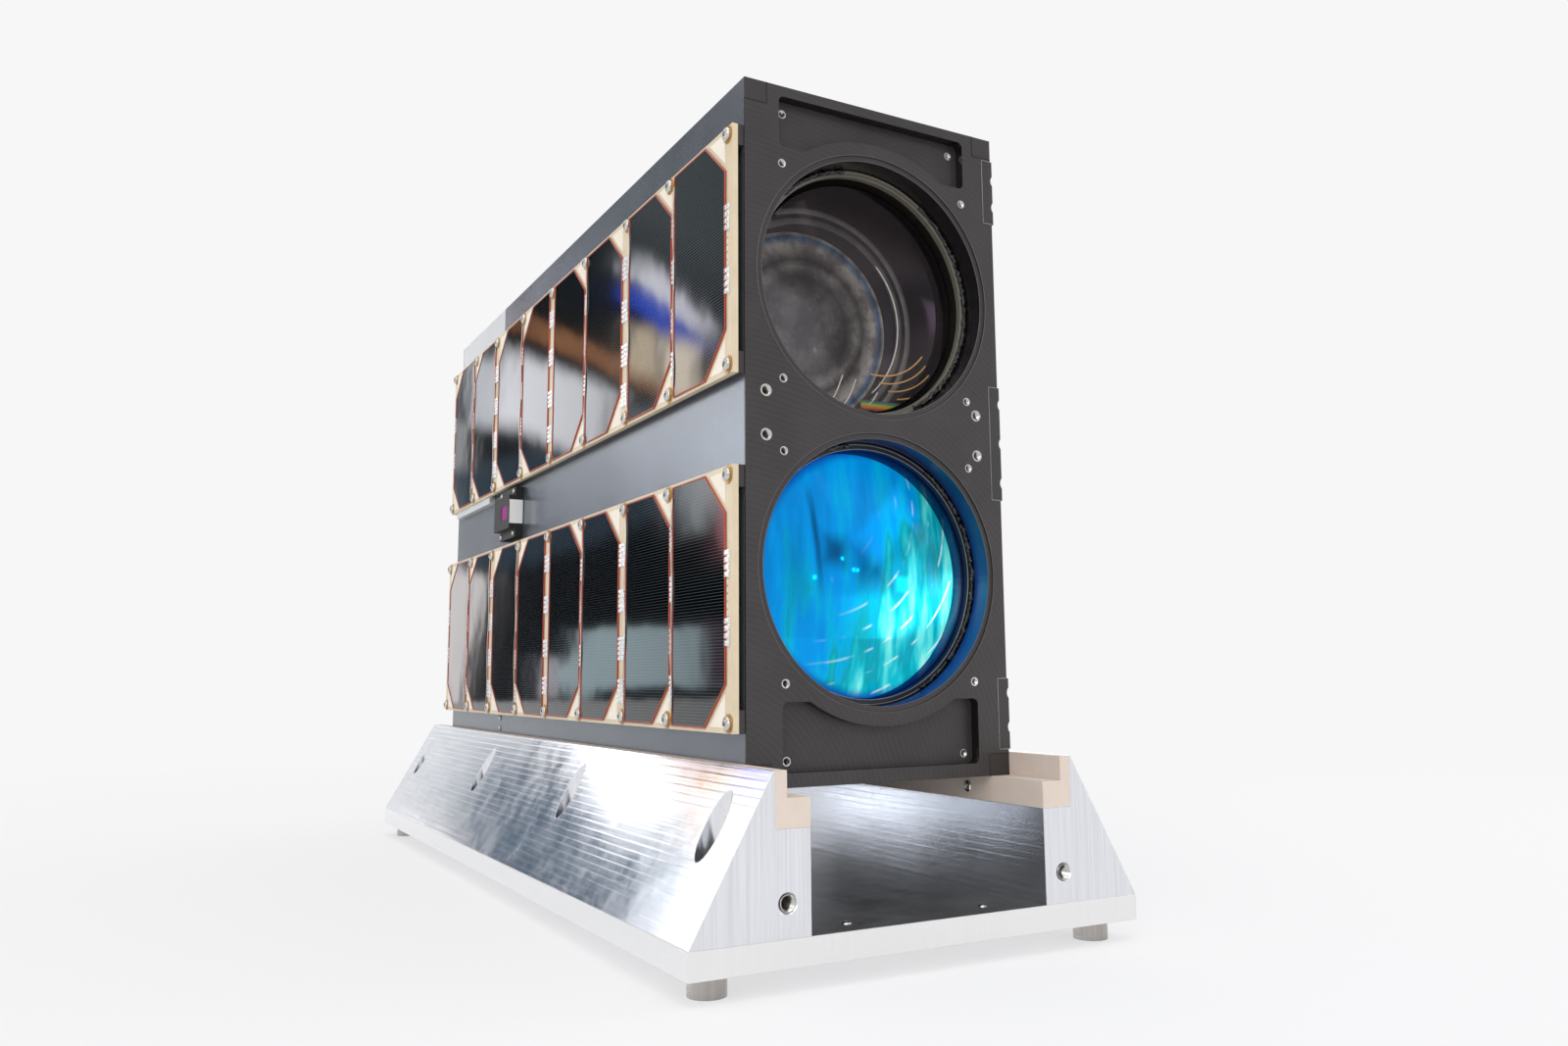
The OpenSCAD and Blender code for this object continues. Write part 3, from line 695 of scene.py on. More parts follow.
# Black anodised plate: a soft warm black, on which the cutter's arcs just catch the light
# Its walls carry painted shade, and painted blue light round the lower lens
BLACK_PLATE = Anodised("black_anodised_plate", "black_anodised", "#2a2727", 0.42, light="#3c3738",
                       depth=0.016, wall_shade="#121011")
# Black anodised trim: the same dye on narrow parts, with straight passes
BLACK_TRIM = Anodised("black_anodised_trim", "black_anodised", "#2c2829", 0.42, light="#373333",
                      marks=Marks.ALONG, pitch=0.9, edge=0.5)
# Blasted and anodised sheet: slate, with a satin gloss that brightens where it faces a light
SKIN = Blasted("blasted_anodised_skin", "grey_anodised", "#5e636a", 0.24, 0.6, light="#757b83")
# Thin cover sheet: the same slate, but flatter, so that the cover shows against the skin
SKIN_COVER = Blasted("blasted_anodised_cover", "grey_anodised", "#5d6269", 0.5, 0.25, light="#767b83")
# Clear anodised cover: pale satin silver
PALE_COVER = Blasted("clear_anodised_cover", "clear_anodised", "#c4c7ca", 0.42, 0.35, light="#d6d8da")
# Milled aluminium block: near a mirror, broken up by streaks and the pass lines, with faint painted shade on
# its ends
MILLED = Milled("milled_aluminium", "milled_aluminium", "#f4f5f7", 0.13, 0.94, painted_end_shade="#fefdfe",
                step_depth=0.014, lean=-0.105)
# Milled aluminium plate: paler and softer than the blocks, with faint painted shade on its ends
BASE_EDGE = Milled("milled_aluminium_plate", "milled_aluminium", "#f8f8f8", 0.2, 0.96, dark="#eff0f2",
                   painted_end_shade="#fbf9f8", depth=0.004)
# Machined engineering plastic: warm and matt, as PEEK is
PALE_PLASTIC = Moulded("machined_peek", "pale_plastic", "#d9c7b8", 0.55, light="#e9dbd0")
# Glass laminate: a straw-coloured board, slightly glossy
LAMINATE = Moulded("panel_laminate", "board", "#d2bd9b", 0.4, light="#e8dabf")
# Bare laminate pad: the board's cream where nothing covers it
BARE_PAD = Moulded("bare_laminate_pad", "board", "#f1e6d3", 0.5, light="#faf3e5")
# Cell under cover glass: near black, a dark mirror with fine fingers
CELL = SolarGlass("solar_cell_cover_glass", "solar_cell", "#040506", 0.06)
# Reflowed solder: bright tin with soft lumps
SOLDER = Solder("reflowed_solder", "solder", "#dcdcd8", 0.28, 0.9)
# Edge film: copper red, which draws a thin line round each cell
EDGE_FILM = Moulded("copper_red_edge_film", "edge_film", "#94301f", 0.3, light="#bb4f33")
# Tinned wire: a thin bright thread that wanders in the gap
WIRE = Polished("tinned_wire", "solder", "#e2e2dc", 0.3, 1.0)
# Stainless steel: bright, with dark sockets
STEEL = Polished("stainless_steel", "stainless", "#eceae6", 0.18, 1.0)
# Brass washer: a gold rim under each screw
BRASS = Polished("brass_washer", "brass", "#c79a54", 0.35, 0.9, dark="#a67f44")
# Turned steel foot: satin silver with upright light and dark bands, and painted shade on the sides that face
# front and back
FOOT = Milled("turned_steel_foot", "foot_steel", "#dcd9d5", 0.24, 1.0, dark="#a8a4a0", painted_end_shade="#dad7d4",
              streak=0.5)
# Painted edge highlight: a fine bright line that stands in for light caught on an edge
EDGE_HIGHLIGHT = Polished("worn_bright_edge", "edge_highlight", "#b4afaf", 0.35, 0.6, dark="#8f8a8a")
# Painted rim highlight: a fine grey line that stands in for light caught on an aperture's edges
RIM_HIGHLIGHT = Polished("broken_anodised_edge", "edge_highlight", "#6d6869", 0.4, 0.4, dark="#575253")
# Joint: a thin dark line between parts
JOINT = Moulded("dark_joint_line", "black_anodised", "#100f10", 0.7, light="#1a1819")
# Cover glass edge: a painted highlight, a thin grey-green line along the top and near edges
CELL_EDGE_HIGHLIGHT = Polished("cover_glass_edge", "cover_glass_edge", "#8f9694", 0.25, 0.3, dark="#6d7472")
# Flat black bore: swallows light, so that the lens looks deep
BORE_BLACK = Anodised("flat_black_barrel", "barrel_black", "#0b0a0b", 0.5, light="#131112",
                      marks=Marks.TURNED, pitch=1.6, depth=0.0005, gloss=0.0)
# Retaining ring: an olive-grey band with turned lines
RETAINER = Anodised("olive_retaining_ring", "ring_metal", "#6b685c", 0.36, 0.4, light="#858170",
                    marks=Marks.TURNED, pitch=0.6)
# Dark retaining ring: near black, with turned lines
DARK_RETAINER = Anodised("dark_retaining_ring", "ring_metal", "#1b2226", 0.3, 0.3, light="#2c3538",
                         marks=Marks.TURNED, pitch=0.6)
# Staking adhesive: black, wet-looking lumps
ADHESIVE = Moulded("black_staking_adhesive", "barrel_black", "#1a191a", 0.16, light="#2c2a2b", grain=0.5)
# Coated optical glass: clear, with a faint warm violet gloss
CLEAR_GLASS = ClearGlass("coated_optical_glass", "clear_glass", "#ececee", 0.0)
# Dichroic glass: a vivid mirror that runs from azure to pale cyan, with a painted reflection and highlights
BLUE_MIRROR = MirrorCoat("dichroic_blue_glass", "blue_coated_glass", "#2fc6ee", 0.03, 1.0)
# Deep inner lens: soft grey rings, with a painted pale highlight and coloured fringe at the rim
DEEP_GLASS = DeepGlass("deep_inner_glass", "clear_glass", "#3b3a38", 0.25)
# Stepped inner cell: dark metal, with pale steps brightened as painted highlights
CELL_RING = DeepGlass("stepped_inner_cell", "barrel_black", "#5b5856", 0.42, 0.2, radius=39.6,
                      stain=(0.8, 1.1), coat=0.0, zones=(
                          (0.0, "#1a1a19"), (0.845, "#1d1c1b"), (0.862, "#8d8983"), (0.9, "#77736d"),
                          (0.912, "#2a2927"), (0.94, "#32302e"), (0.952, "#b3aea7"), (0.985, "#8d8983"),
                          (1.0, "#2a2826")))
# Split light: a short rainbow on the bore's foot
SPECTRUM = Spectrum("split_light", "clear_glass", "#c8c040", 0.4)
# Painted gold glint: bright traces that stand in for light caught on the warm edges of deeper optics
GOLD_GLINT = Polished("gold_edge_glint", "gold", "#ffdd74", 0.3, 0.0, dark="#f2a044")
# Painted pale glint: bright traces that stand in for light caught on the cool edges of deeper optics
PALE_GLINT = Polished("pale_edge_glint", "edge_highlight", "#f8f5ee", 0.3, 0.0, dark="#dcd6c9")
# Sensor filter: a small magenta window
MAGENTA_GLASS = Finish("magenta_sensor_glass", "magenta_glass", "#b8459a", 0.08)
# Sensor body: an even soft black
SENSOR_BLACK = Blasted("sensor_black_anodised", "black_anodised", "#111113", 0.6, light="#1b1b1d")
# Blank label: plain matt white
LABEL = Moulded("plain_white_label", "label", "#eeeeec", 0.6, light="#fafaf8")
# Nickel-plated shell: warm satin silver
CONNECTOR = Polished("nickel_plated_shell", "connector_shell", "#b9b4a8", 0.3, 1.0, dark="#989386")
# Socket plastic: a matt green-black block
SOCKET_PLASTIC = Moulded("black_socket_plastic", "black_plastic", "#1b201d", 0.5, light="#242a27")
# Gold contact: small bright gold pins
GOLD = Polished("gold_contact", "gold", "#dfb95c", 0.25, 1.0, dark="#c59c3e")
# Ceramic patch: smooth ivory
CERAMIC = Moulded("ceramic_patch", "ceramic_patch", "#e4dfd0", 0.45, light="#efeade")
# Plain stack: a dull green-grey block that the skins hide
STACK = Moulded("plain_stack", "electronics", "#4f5447", 0.6, light="#5c6153")


# ---- meshes ----


def turned(rings: list[Ring], segments: int = 24) -> tuple[list[Point], list[Face]]:
    """Makes a closed turned shape about +Z.

    Args:
        rings: radius, height, and whether the ring is a hexagon, from the bottom's middle
            round the outside to the top's middle.
        segments: how many faces go round.

    Returns:
        The points and faces of the shape, which is capped or closed to a pole at both ends.
    """
    points: list[Point] = []
    rows: list[list[int]] = []
    for radius, height, hexagon in rings:
        row = []
        for i in range(1 if radius == 0 else segments):
            angle = 2 * math.pi * i / segments
            share = math.cos(math.pi / 6) / math.cos(angle % (math.pi / 3) - math.pi / 6) if hexagon else 1.0
            row.append(len(points))
            points.append((radius * share * math.cos(angle), radius * share * math.sin(angle), height))
        rows.append(row)
    faces: list[Face] = []
    for low, high in zip(rows, rows[1:]):
        for i in range(segments):
            j = (i + 1) % segments
            a, b = low[i % len(low)], low[j % len(low)]
            c, d = high[j % len(high)], high[i % len(high)]
            faces.append(tuple(dict.fromkeys((a, b, c, d))))
    if len(rows[0]) > 1:
        faces.append(tuple(reversed(rows[0])))
    if len(rows[-1]) > 1:
        faces.append(tuple(rows[-1]))
    return points, faces


def make_mesh(name: str, points: list[Point], faces: list[Face], scale: float = MM,
              smooth: float | None = None) -> Object:
    """Makes an object from points and faces, with its faces outwards.

    Args:
        name: the object's name.
        points: the points, in millimetres unless scale says otherwise.
        faces: each face's point numbers.
        scale: the size of one unit in metres.
        smooth: the largest angle in degrees that is shaded smooth, or None for flat faces.

    Returns:
        The object, linked to the scene.
    """
    mesh = bpy.data.meshes.new(name)
    mesh.from_pydata([Vector(p) * scale for p in points], [], faces)
    work = bmesh.new()
    work.from_mesh(mesh)
    bmesh.ops.recalc_face_normals(work, faces=work.faces)
    if smooth is not None:
        for face in work.faces:
            face.smooth = True
        for edge in work.edges:
            edge.smooth = len(edge.link_faces) == 2 and edge.calc_face_angle(0) < math.radians(smooth)
    work.to_mesh(mesh)
    work.free()
    made = bpy.data.objects.new(name, mesh)
    bpy.context.scene.collection.objects.link(made)
    return made


def place_piece(made: Object, finish: Finish) -> Object:
    """Gives a finished piece its material, and lets it ride on the one body.

    Args:
        made: the piece, at the origin.
        finish: its finish.

    Returns:
        The piece.
    """
    made.data.materials.clear()
    made.data.materials.append(finish.material())
    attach(made, "root")
    return made


def dress(finish: Finish, *nodes: str) -> None:
    """Gives CAD nodes a finish.

    Args:
        finish: the finish.
        nodes: the nodes' names.
    """
    for name in nodes:
        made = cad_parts[name]
        made.data.materials.clear()
        made.data.materials.append(finish.material())


def slabs(boxes: list[Box]) -> tuple[list[Point], list[Face]]:
    """Makes separate boxes.

    Args:
        boxes: each box's two far corners.

    Returns:
        Their points and faces.
    """
    points: list[Point] = []
    faces: list[Face] = []
    for low, high in boxes:
        base = len(points)
        points += [(x, y, z) for x in (low[0], high[0]) for y in (low[1], high[1]) for z in (low[2], high[2])]
        faces += [tuple(base + i for i in f) for f in
                  ((0, 1, 3, 2), (4, 6, 7, 5), (0, 4, 5, 1), (2, 3, 7, 6), (0, 2, 6, 4), (1, 5, 7, 3))]
    return points, faces


def plates(outlines: list[list[Point]], thickness: Vector) -> tuple[list[Point], list[Face]]:
    """Makes flat plates: each outline, and its copy moved by the thickness.

    Args:
        outlines: each plate's outline.
        thickness: the way from the outline to its copy.

    Returns:
        Their points and faces.
    """
    points: list[Point] = []
    faces: list[Face] = []
    for outline in outlines:
        n, base = len(outline), len(points)
        points += outline + [tuple(Vector(p) + thickness) for p in outline]
        faces += [tuple(range(base, base + n)), tuple(range(base + 2 * n - 1, base + n - 1, -1))]
        faces += [(base + i, base + (i + 1) % n, base + n + (i + 1) % n, base + n + i) for i in range(n)]
    return points, faces


# ---- repeated hardware, by Geometry Nodes ----


class NodeTool:
    """A Geometry Nodes tree with named inputs, and the way to run it into a plain mesh."""

    name = "tool"
    inputs: tuple[tuple[str, str], ...] = ()

    def __init__(self) -> None:
        """Builds the tree with its sockets."""
        self.tree = bpy.data.node_groups.new(self.name, "GeometryNodeTree")
        self.socket_ids: dict[str, str] = {}
        for label, kind in (("Base", "NodeSocketGeometry"), *self.inputs, ("Finish", "NodeSocketMaterial")):
            made = self.tree.interface.new_socket(label, in_out="INPUT", socket_type=kind)
            self.socket_ids[label] = made.identifier
        self.tree.interface.new_socket("Made", in_out="OUTPUT", socket_type="NodeSocketGeometry")
        self.entry = add(self.tree, "NodeGroupInput")
        shape = self.shape()
        real = add(self.tree, "GeometryNodeRealizeInstances", {0: shape})
        dressed = add(self.tree, "GeometryNodeSetMaterial", {
            "Geometry": real, "Material": self.entry.outputs["Finish"],
        })
        add(self.tree, "NodeGroupOutput", {0: dressed})

    def shape(self) -> Socket:
        """Returns the tree's geometry before it is realized."""
        return self.entry.outputs["Base"]

    def run(self, base: Object, finish: Finish, **values) -> Object:
        """Runs the tree on an object, and keeps the result as a plain mesh.

        Args:
            base: the object with the points or paths, which is removed.
            finish: the piece's finish.
            values: each named input's value, with underscores for spaces.

        Returns:
            The finished piece.
        """
        modifier = base.modifiers.new(self.name, "NODES")
        modifier.node_group = self.tree
        modifier[self.socket_ids["Finish"]] = finish.material()
        for label, value in values.items():
            modifier[self.socket_ids[label.replace("_", " ")]] = value
        bpy.context.view_layer.update()
        evaluated = base.evaluated_get(bpy.context.evaluated_depsgraph_get())
        mesh = bpy.data.meshes.new_from_object(evaluated)
        name = base.name
        base.modifiers.remove(modifier)
        bpy.data.objects.remove(base)
        mesh.name = name
        made = bpy.data.objects.new(name, mesh)
        bpy.context.scene.collection.objects.link(made)
        return place_piece(made, finish)


class Repeater(NodeTool):
    """Stands a template at each point, turned to the point's axis and spun a little."""

    name = "hardware_at_points"
    inputs = (("Template", "NodeSocketObject"), ("Radius", "NodeSocketFloat"),
              ("Spin", "NodeSocketFloat"), ("Seed", "NodeSocketInt"))

    def shape(self) -> Socket:
        """Returns the instances of the template."""
        tree, entry = self.tree, self.entry
        template = add(tree, "GeometryNodeObjectInfo", {"Object": entry.outputs["Template"]})
        axis = add(tree, "GeometryNodeInputNamedAttribute", {"Name": "axis"}, data_type="FLOAT_VECTOR")
        turned_to = add(tree, "FunctionNodeAlignRotationToVector", {
            "Vector": axis.outputs["Attribute"],
        }, axis="Z")
        spin = add(tree, "FunctionNodeRandomValue", {
            "Max": entry.outputs["Spin"], "Seed": entry.outputs["Seed"],
        }, data_type="FLOAT")
        about = add(tree, "FunctionNodeAxisAngleToRotation", {
            "Axis": UP, "Angle": next(s for s in spin.outputs if s.enabled),
        })
        rotation = add(tree, "FunctionNodeRotateRotation", {
            "Rotation": turned_to, "Rotate By": about,
        }, rotation_space="LOCAL")
        placed = add(tree, "GeometryNodeInstanceOnPoints", {
            "Points": entry.outputs["Base"], "Instance": template.outputs["Geometry"],
            "Rotation": rotation, "Scale": entry.outputs["Radius"],
        })
        return placed.outputs[0]


class Tracer(NodeTool):
    """Draws a round trace along each path, with lumps of a set height."""

    name = "trace_along_paths"
    inputs = (("Radius", "NodeSocketFloat"), ("Lump", "NodeSocketFloat"), ("Lump size", "NodeSocketFloat"))

    def shape(self) -> Socket:
        """Returns the swept paths."""
        tree, entry = self.tree, self.entry
        path = add(tree, "GeometryNodeMeshToCurve", {"Mesh": entry.outputs["Base"]})
        section = add(tree, "GeometryNodeCurvePrimitiveCircle", {
            "Resolution": 6, "Radius": entry.outputs["Radius"],
        })
        swept = add(tree, "GeometryNodeCurveToMesh", {
            "Curve": path, "Profile Curve": section, "Fill Caps": True,
        })
        finer = add(tree, "ShaderNodeMath", {0: 1.0, 1: entry.outputs["Lump size"]}, operation="DIVIDE")
        noise = add(tree, "ShaderNodeTexNoise", {"Scale": finer, "Detail": 2.0})
        centred = add(tree, "ShaderNodeVectorMath", {0: noise.outputs["Color"], 1: (0.5, 0.5, 0.5)},
                      operation="SUBTRACT")
        push = add(tree, "ShaderNodeVectorMath", {0: centred, "Scale": entry.outputs["Lump"]},
                   operation="SCALE")
        lumpy = add(tree, "GeometryNodeSetPosition", {"Geometry": swept, "Offset": push})
        return add(tree, "GeometryNodeSetShadeSmooth", {"Geometry": lumpy}).outputs[0]


REPEATER = Repeater()
TRACER = Tracer()


@dataclass
class Hardware:
    """One kind of small turned hardware, whose sizes are in radii of its head."""

    name: str
    rings: list[Ring]
    finish: Finish
    radius: float
    segments: int = 24
    spin: float = 2 * math.pi

    def fit(self, name: str, places: list[Seat], seed: int = 3) -> Object:
        """Stands the hardware at its places, as one piece.

        Args:
            name: the piece's name.
            places: each one's seat in millimetres, and its outward axis.
            seed: the seed of its spins.

        Returns:
            The piece.
        """
        points, faces = turned(self.rings, self.segments)
        template = make_mesh(self.name + "_template", points, faces, scale=1.0, smooth=35)
        mesh = bpy.data.meshes.new(name)
        mesh.from_pydata([Vector(p) * MM for p, _ in places], [], [])
        axes = mesh.attributes.new("axis", "FLOAT_VECTOR", "POINT")
        for i, (_, axis) in enumerate(places):
            axes.data[i].vector = axis
        base = bpy.data.objects.new(name, mesh)
        bpy.context.scene.collection.objects.link(base)
        made = REPEATER.run(base, self.finish, Template=template, Radius=self.radius * MM,
                            Spin=self.spin, Seed=seed)
        bpy.data.objects.remove(template)
        return made


def thread(outer: float, inner: float, depth: float, pitch: float) -> list[Ring]:
    """Returns the rings of a threaded tube, from its far end round the outside and down the bore.

    Args:
        outer: the tube's outer radius.
        inner: the radius of the thread's crests.
        depth: the tube's length.
        pitch: the distance between crests.

    Returns:
        The rings, with the tube's mouth at height 0.
    """
    turns = int(depth / pitch)
    crest, root = inner, inner + pitch * 0.45
    bore = [(crest if i % 2 else root, -i * pitch / 2, False) for i in range(1, 2 * turns)]
    return [(outer, -depth, False), (outer, 0.0, False), (root, 0.0, False), *bore,
            (crest, -depth * 0.98, False), (0.0, -depth * 0.98, False)]


def button_head(height: float, socket: float, socket_depth: float) -> list[Ring]:
    """Works out a round-headed screw with a hexagon socket, in head radii.

    Args:
        height: the head's height.
        socket: the socket's radius.
        socket_depth: its depth.

    Returns:
        The rings.
    """
    dome = [(math.cos(a) ** 0.8, height * (0.35 + 0.65 * math.sin(a)), False)
            for a in (0.0, 0.35, 0.7, 1.0)]
    return [(0.0, 0.0, False), (0.96, 0.0, False), *dome, (socket * 1.12, height, False),
            (socket, height * 0.97, True), (socket, height - socket_depth, True),
            (0.0, height - socket_depth - 0.06, False)]


BUTTON_SCREW = Hardware("button_screw", button_head(0.62, 0.44, 0.4), STEEL, 2.25)
SMALL_SCREW = Hardware("small_screw", button_head(0.6, 0.42, 0.38), STEEL, 1.5)
WASHER = Hardware("washer", [
    (0.5, 0.0, False), (1.0, 0.0, False), (1.0, 0.09, False), (0.96, 0.13, False), (0.5, 0.13, False),
], BRASS, 2.9)
CAP_SCREW = Hardware("cap_screw", [
    (0.0, 0.0, False), (1.0, 0.0, False), (1.0, 1.1, False), (0.93, 1.18, False), (0.62, 1.18, False),
    (0.58, 1.13, True), (0.58, 0.55, True), (0.0, 0.5, False),
], STEEL, 4.9, 36)
INSERT = Hardware("thread_insert", thread(1.0, 0.62, 3.2, 0.3), STEEL, 1.5, 24)
PIN = Hardware("contact_pin", [(0.0, 0.0, False), (1.0, 0.0, False), (1.0, 3.0, False), (0.6, 3.6, False),
                               (0.0, 3.7, False)], GOLD, 0.45, 10)


def draw(name: str, paths: list[list[Point]], radius: float, finish: Finish, closed: bool = False,
         lump: float = 0.0, lump_size: float = 1.0) -> Object:
    """Draws traces along paths, as one piece.

    Args:
        name: the piece's name.
        paths: each path's points in millimetres.
        radius: the trace's radius in millimetres.
        finish: its finish.
        closed: whether each path meets its own start.
        lump: the lumps' height in millimetres.
        lump_size: the lumps' size in millimetres.

    Returns:
        The piece.
    """
    points: list[Vector] = []
    edges: list[tuple[int, int]] = []
    for path in paths:
        base, n = len(points), len(path)
        points += [Vector(p) * MM for p in path]
        edges += [(base + i, base + i + 1) for i in range(n - 1)]
        if closed:
            edges.append((base + n - 1, base))
    mesh = bpy.data.meshes.new(name)
    mesh.from_pydata(points, edges, [])
    base_object = bpy.data.objects.new(name, mesh)
    bpy.context.scene.collection.objects.link(base_object)
    return TRACER.run(base_object, finish, Radius=radius * MM, Lump=lump * MM, Lump_size=lump_size * MM)


# ---- sub-assemblies ----


@dataclass
class Body:
    """Skins, rails, end plates and covers."""

    insert_side: float = 13.7
    pocket_insert_in: float = 16.0
    pocket_insert_edge: float = 7.6
    pocket_depth: float = 4.0
    large_sides: Pair = (7.4, 9.8)
    large_radius: float = 2.0
    axis_rises: tuple[tuple[float, float], ...] = ((-35.8, 36.1), (-36.1, 36.7))
    large_rises: Pair = (-6.6, 7.6)
    cover_screw_in: float = 5.0
    cover_screws: int = 5
    skin_screw_back: float = 97.0
    skin_screw_rises: Pair = (9.5, 14.5)
    skin_screw_radius: float = 1.2
    edge_line_in: float = 1.0
    edge_line: float = 0.14
    joint_line: float = 0.16

    def dress(self) -> None:
        """Gives the body's CAD nodes their finishes."""
        dress(BLACK_PLATE, "front_plate", "rear_plate")
        dress(BLACK_TRIM, "rail_top_left", "rail_top_right", "rail_bottom_left", "rail_bottom_right",
              "edge_plate_top", "edge_plate_middle", "edge_plate_bottom")
        dress(SKIN, "left_skin", "right_skin", "top_skin", "bottom_skin")
        dress(SKIN_COVER, "right_access_panel", "top_access_panel")
        dress(PALE_COVER, "rear_corner_cover", "panel_strip")
        dress(STACK, "electronics_block")

    def build_inserts(self) -> list[Object]:
        """Makes the threaded inserts of the front plate, small and large.

        Returns:
            The pieces.
        """
        low, high = box_mm("front_plate")
        face = low.y
        centres = [sum(corner.z for corner in box_mm(f"{level.value}_front_lens")) / 2 for level in Level]
        x = high.x - self.insert_side
        small = [((side * x, face, centre + rise), FRONT) for side in (-1, 1)
                 for centre, rises in zip(centres, self.axis_rises) for rise in rises]
        pocket_x = high.x - self.pocket_insert_in
        small += [((side * pocket_x, face + self.pocket_depth, z), FRONT) for side in (-1, 1)
                  for z in (low.z + self.pocket_insert_edge, high.z - self.pocket_insert_edge)]
        middle = sum(centres) / 2
        sides = (low.x + self.large_sides[0], high.x - self.large_sides[1])
        large = [((side, face, middle + rise), FRONT) for side in sides for rise in self.large_rises]
        large_insert = Hardware("large_insert", INSERT.rings, STEEL, self.large_radius)
        return [INSERT.fit("front_plate_inserts", small),
                large_insert.fit("front_plate_large_inserts", large)]

    def build_front_lines(self) -> list[Object]:
        """Makes the painted highlights that outline the edge plates, and the joints round the rails' ends.

        Returns:
            The pieces.
        """
        bright, joints = [], []
        for node in ("edge_plate_top", "edge_plate_middle", "edge_plate_bottom"):
            low, high = box_mm(node)
            end = high.x - self.edge_line_in
            bright.append([(end, low.y, low.z), (low.x, low.y, low.z), (low.x, low.y, high.z),
                           (end, low.y, high.z)])
        for up in ("top", "bottom"):
            for side in ("left", "right"):
                low, high = box_mm(f"rail_{up}_{side}")
                x_in, x_out = (high.x, low.x) if side == "left" else (low.x, high.x)
                z_in, z_out = (low.z, high.z) if up == "top" else (high.z, low.z)
                joints.append([(x_in, low.y, z_out), (x_in, low.y, z_in), (x_out, low.y, z_in)])
        return [draw("edge_plate_outlines", bright, self.edge_line, EDGE_HIGHLIGHT),
                draw("rail_end_joints", joints, self.joint_line, JOINT)]

    def build_skin_screws(self) -> Object:
        """Makes the two small screws low on the left skin.

        Returns:
            The piece.
        """
        low, high = box_mm("left_skin")
        y = high.y - self.skin_screw_back
        places = [((low.x, y, low.z + rise), LEFT) for rise in self.skin_screw_rises]
        screw = Hardware("skin_screw", SMALL_SCREW.rings, STEEL, self.skin_screw_radius)
        return screw.fit("left_skin_screws", places)

    def build_cover_screws(self) -> Object:
        """Makes the screws round the edges of the right access panel.

        Returns:
            The piece.
        """
        low, high = box_mm("right_access_panel")
        inset, gaps = self.cover_screw_in, self.cover_screws - 1
        ys = [low.y + inset + i * (high.y - low.y - 2 * inset) / gaps for i in range(self.cover_screws)]
        places = [((high.x, y, z), RIGHT) for y in ys for z in (low.z + inset, high.z - inset)]
        return SMALL_SCREW.fit("right_cover_screws", places)


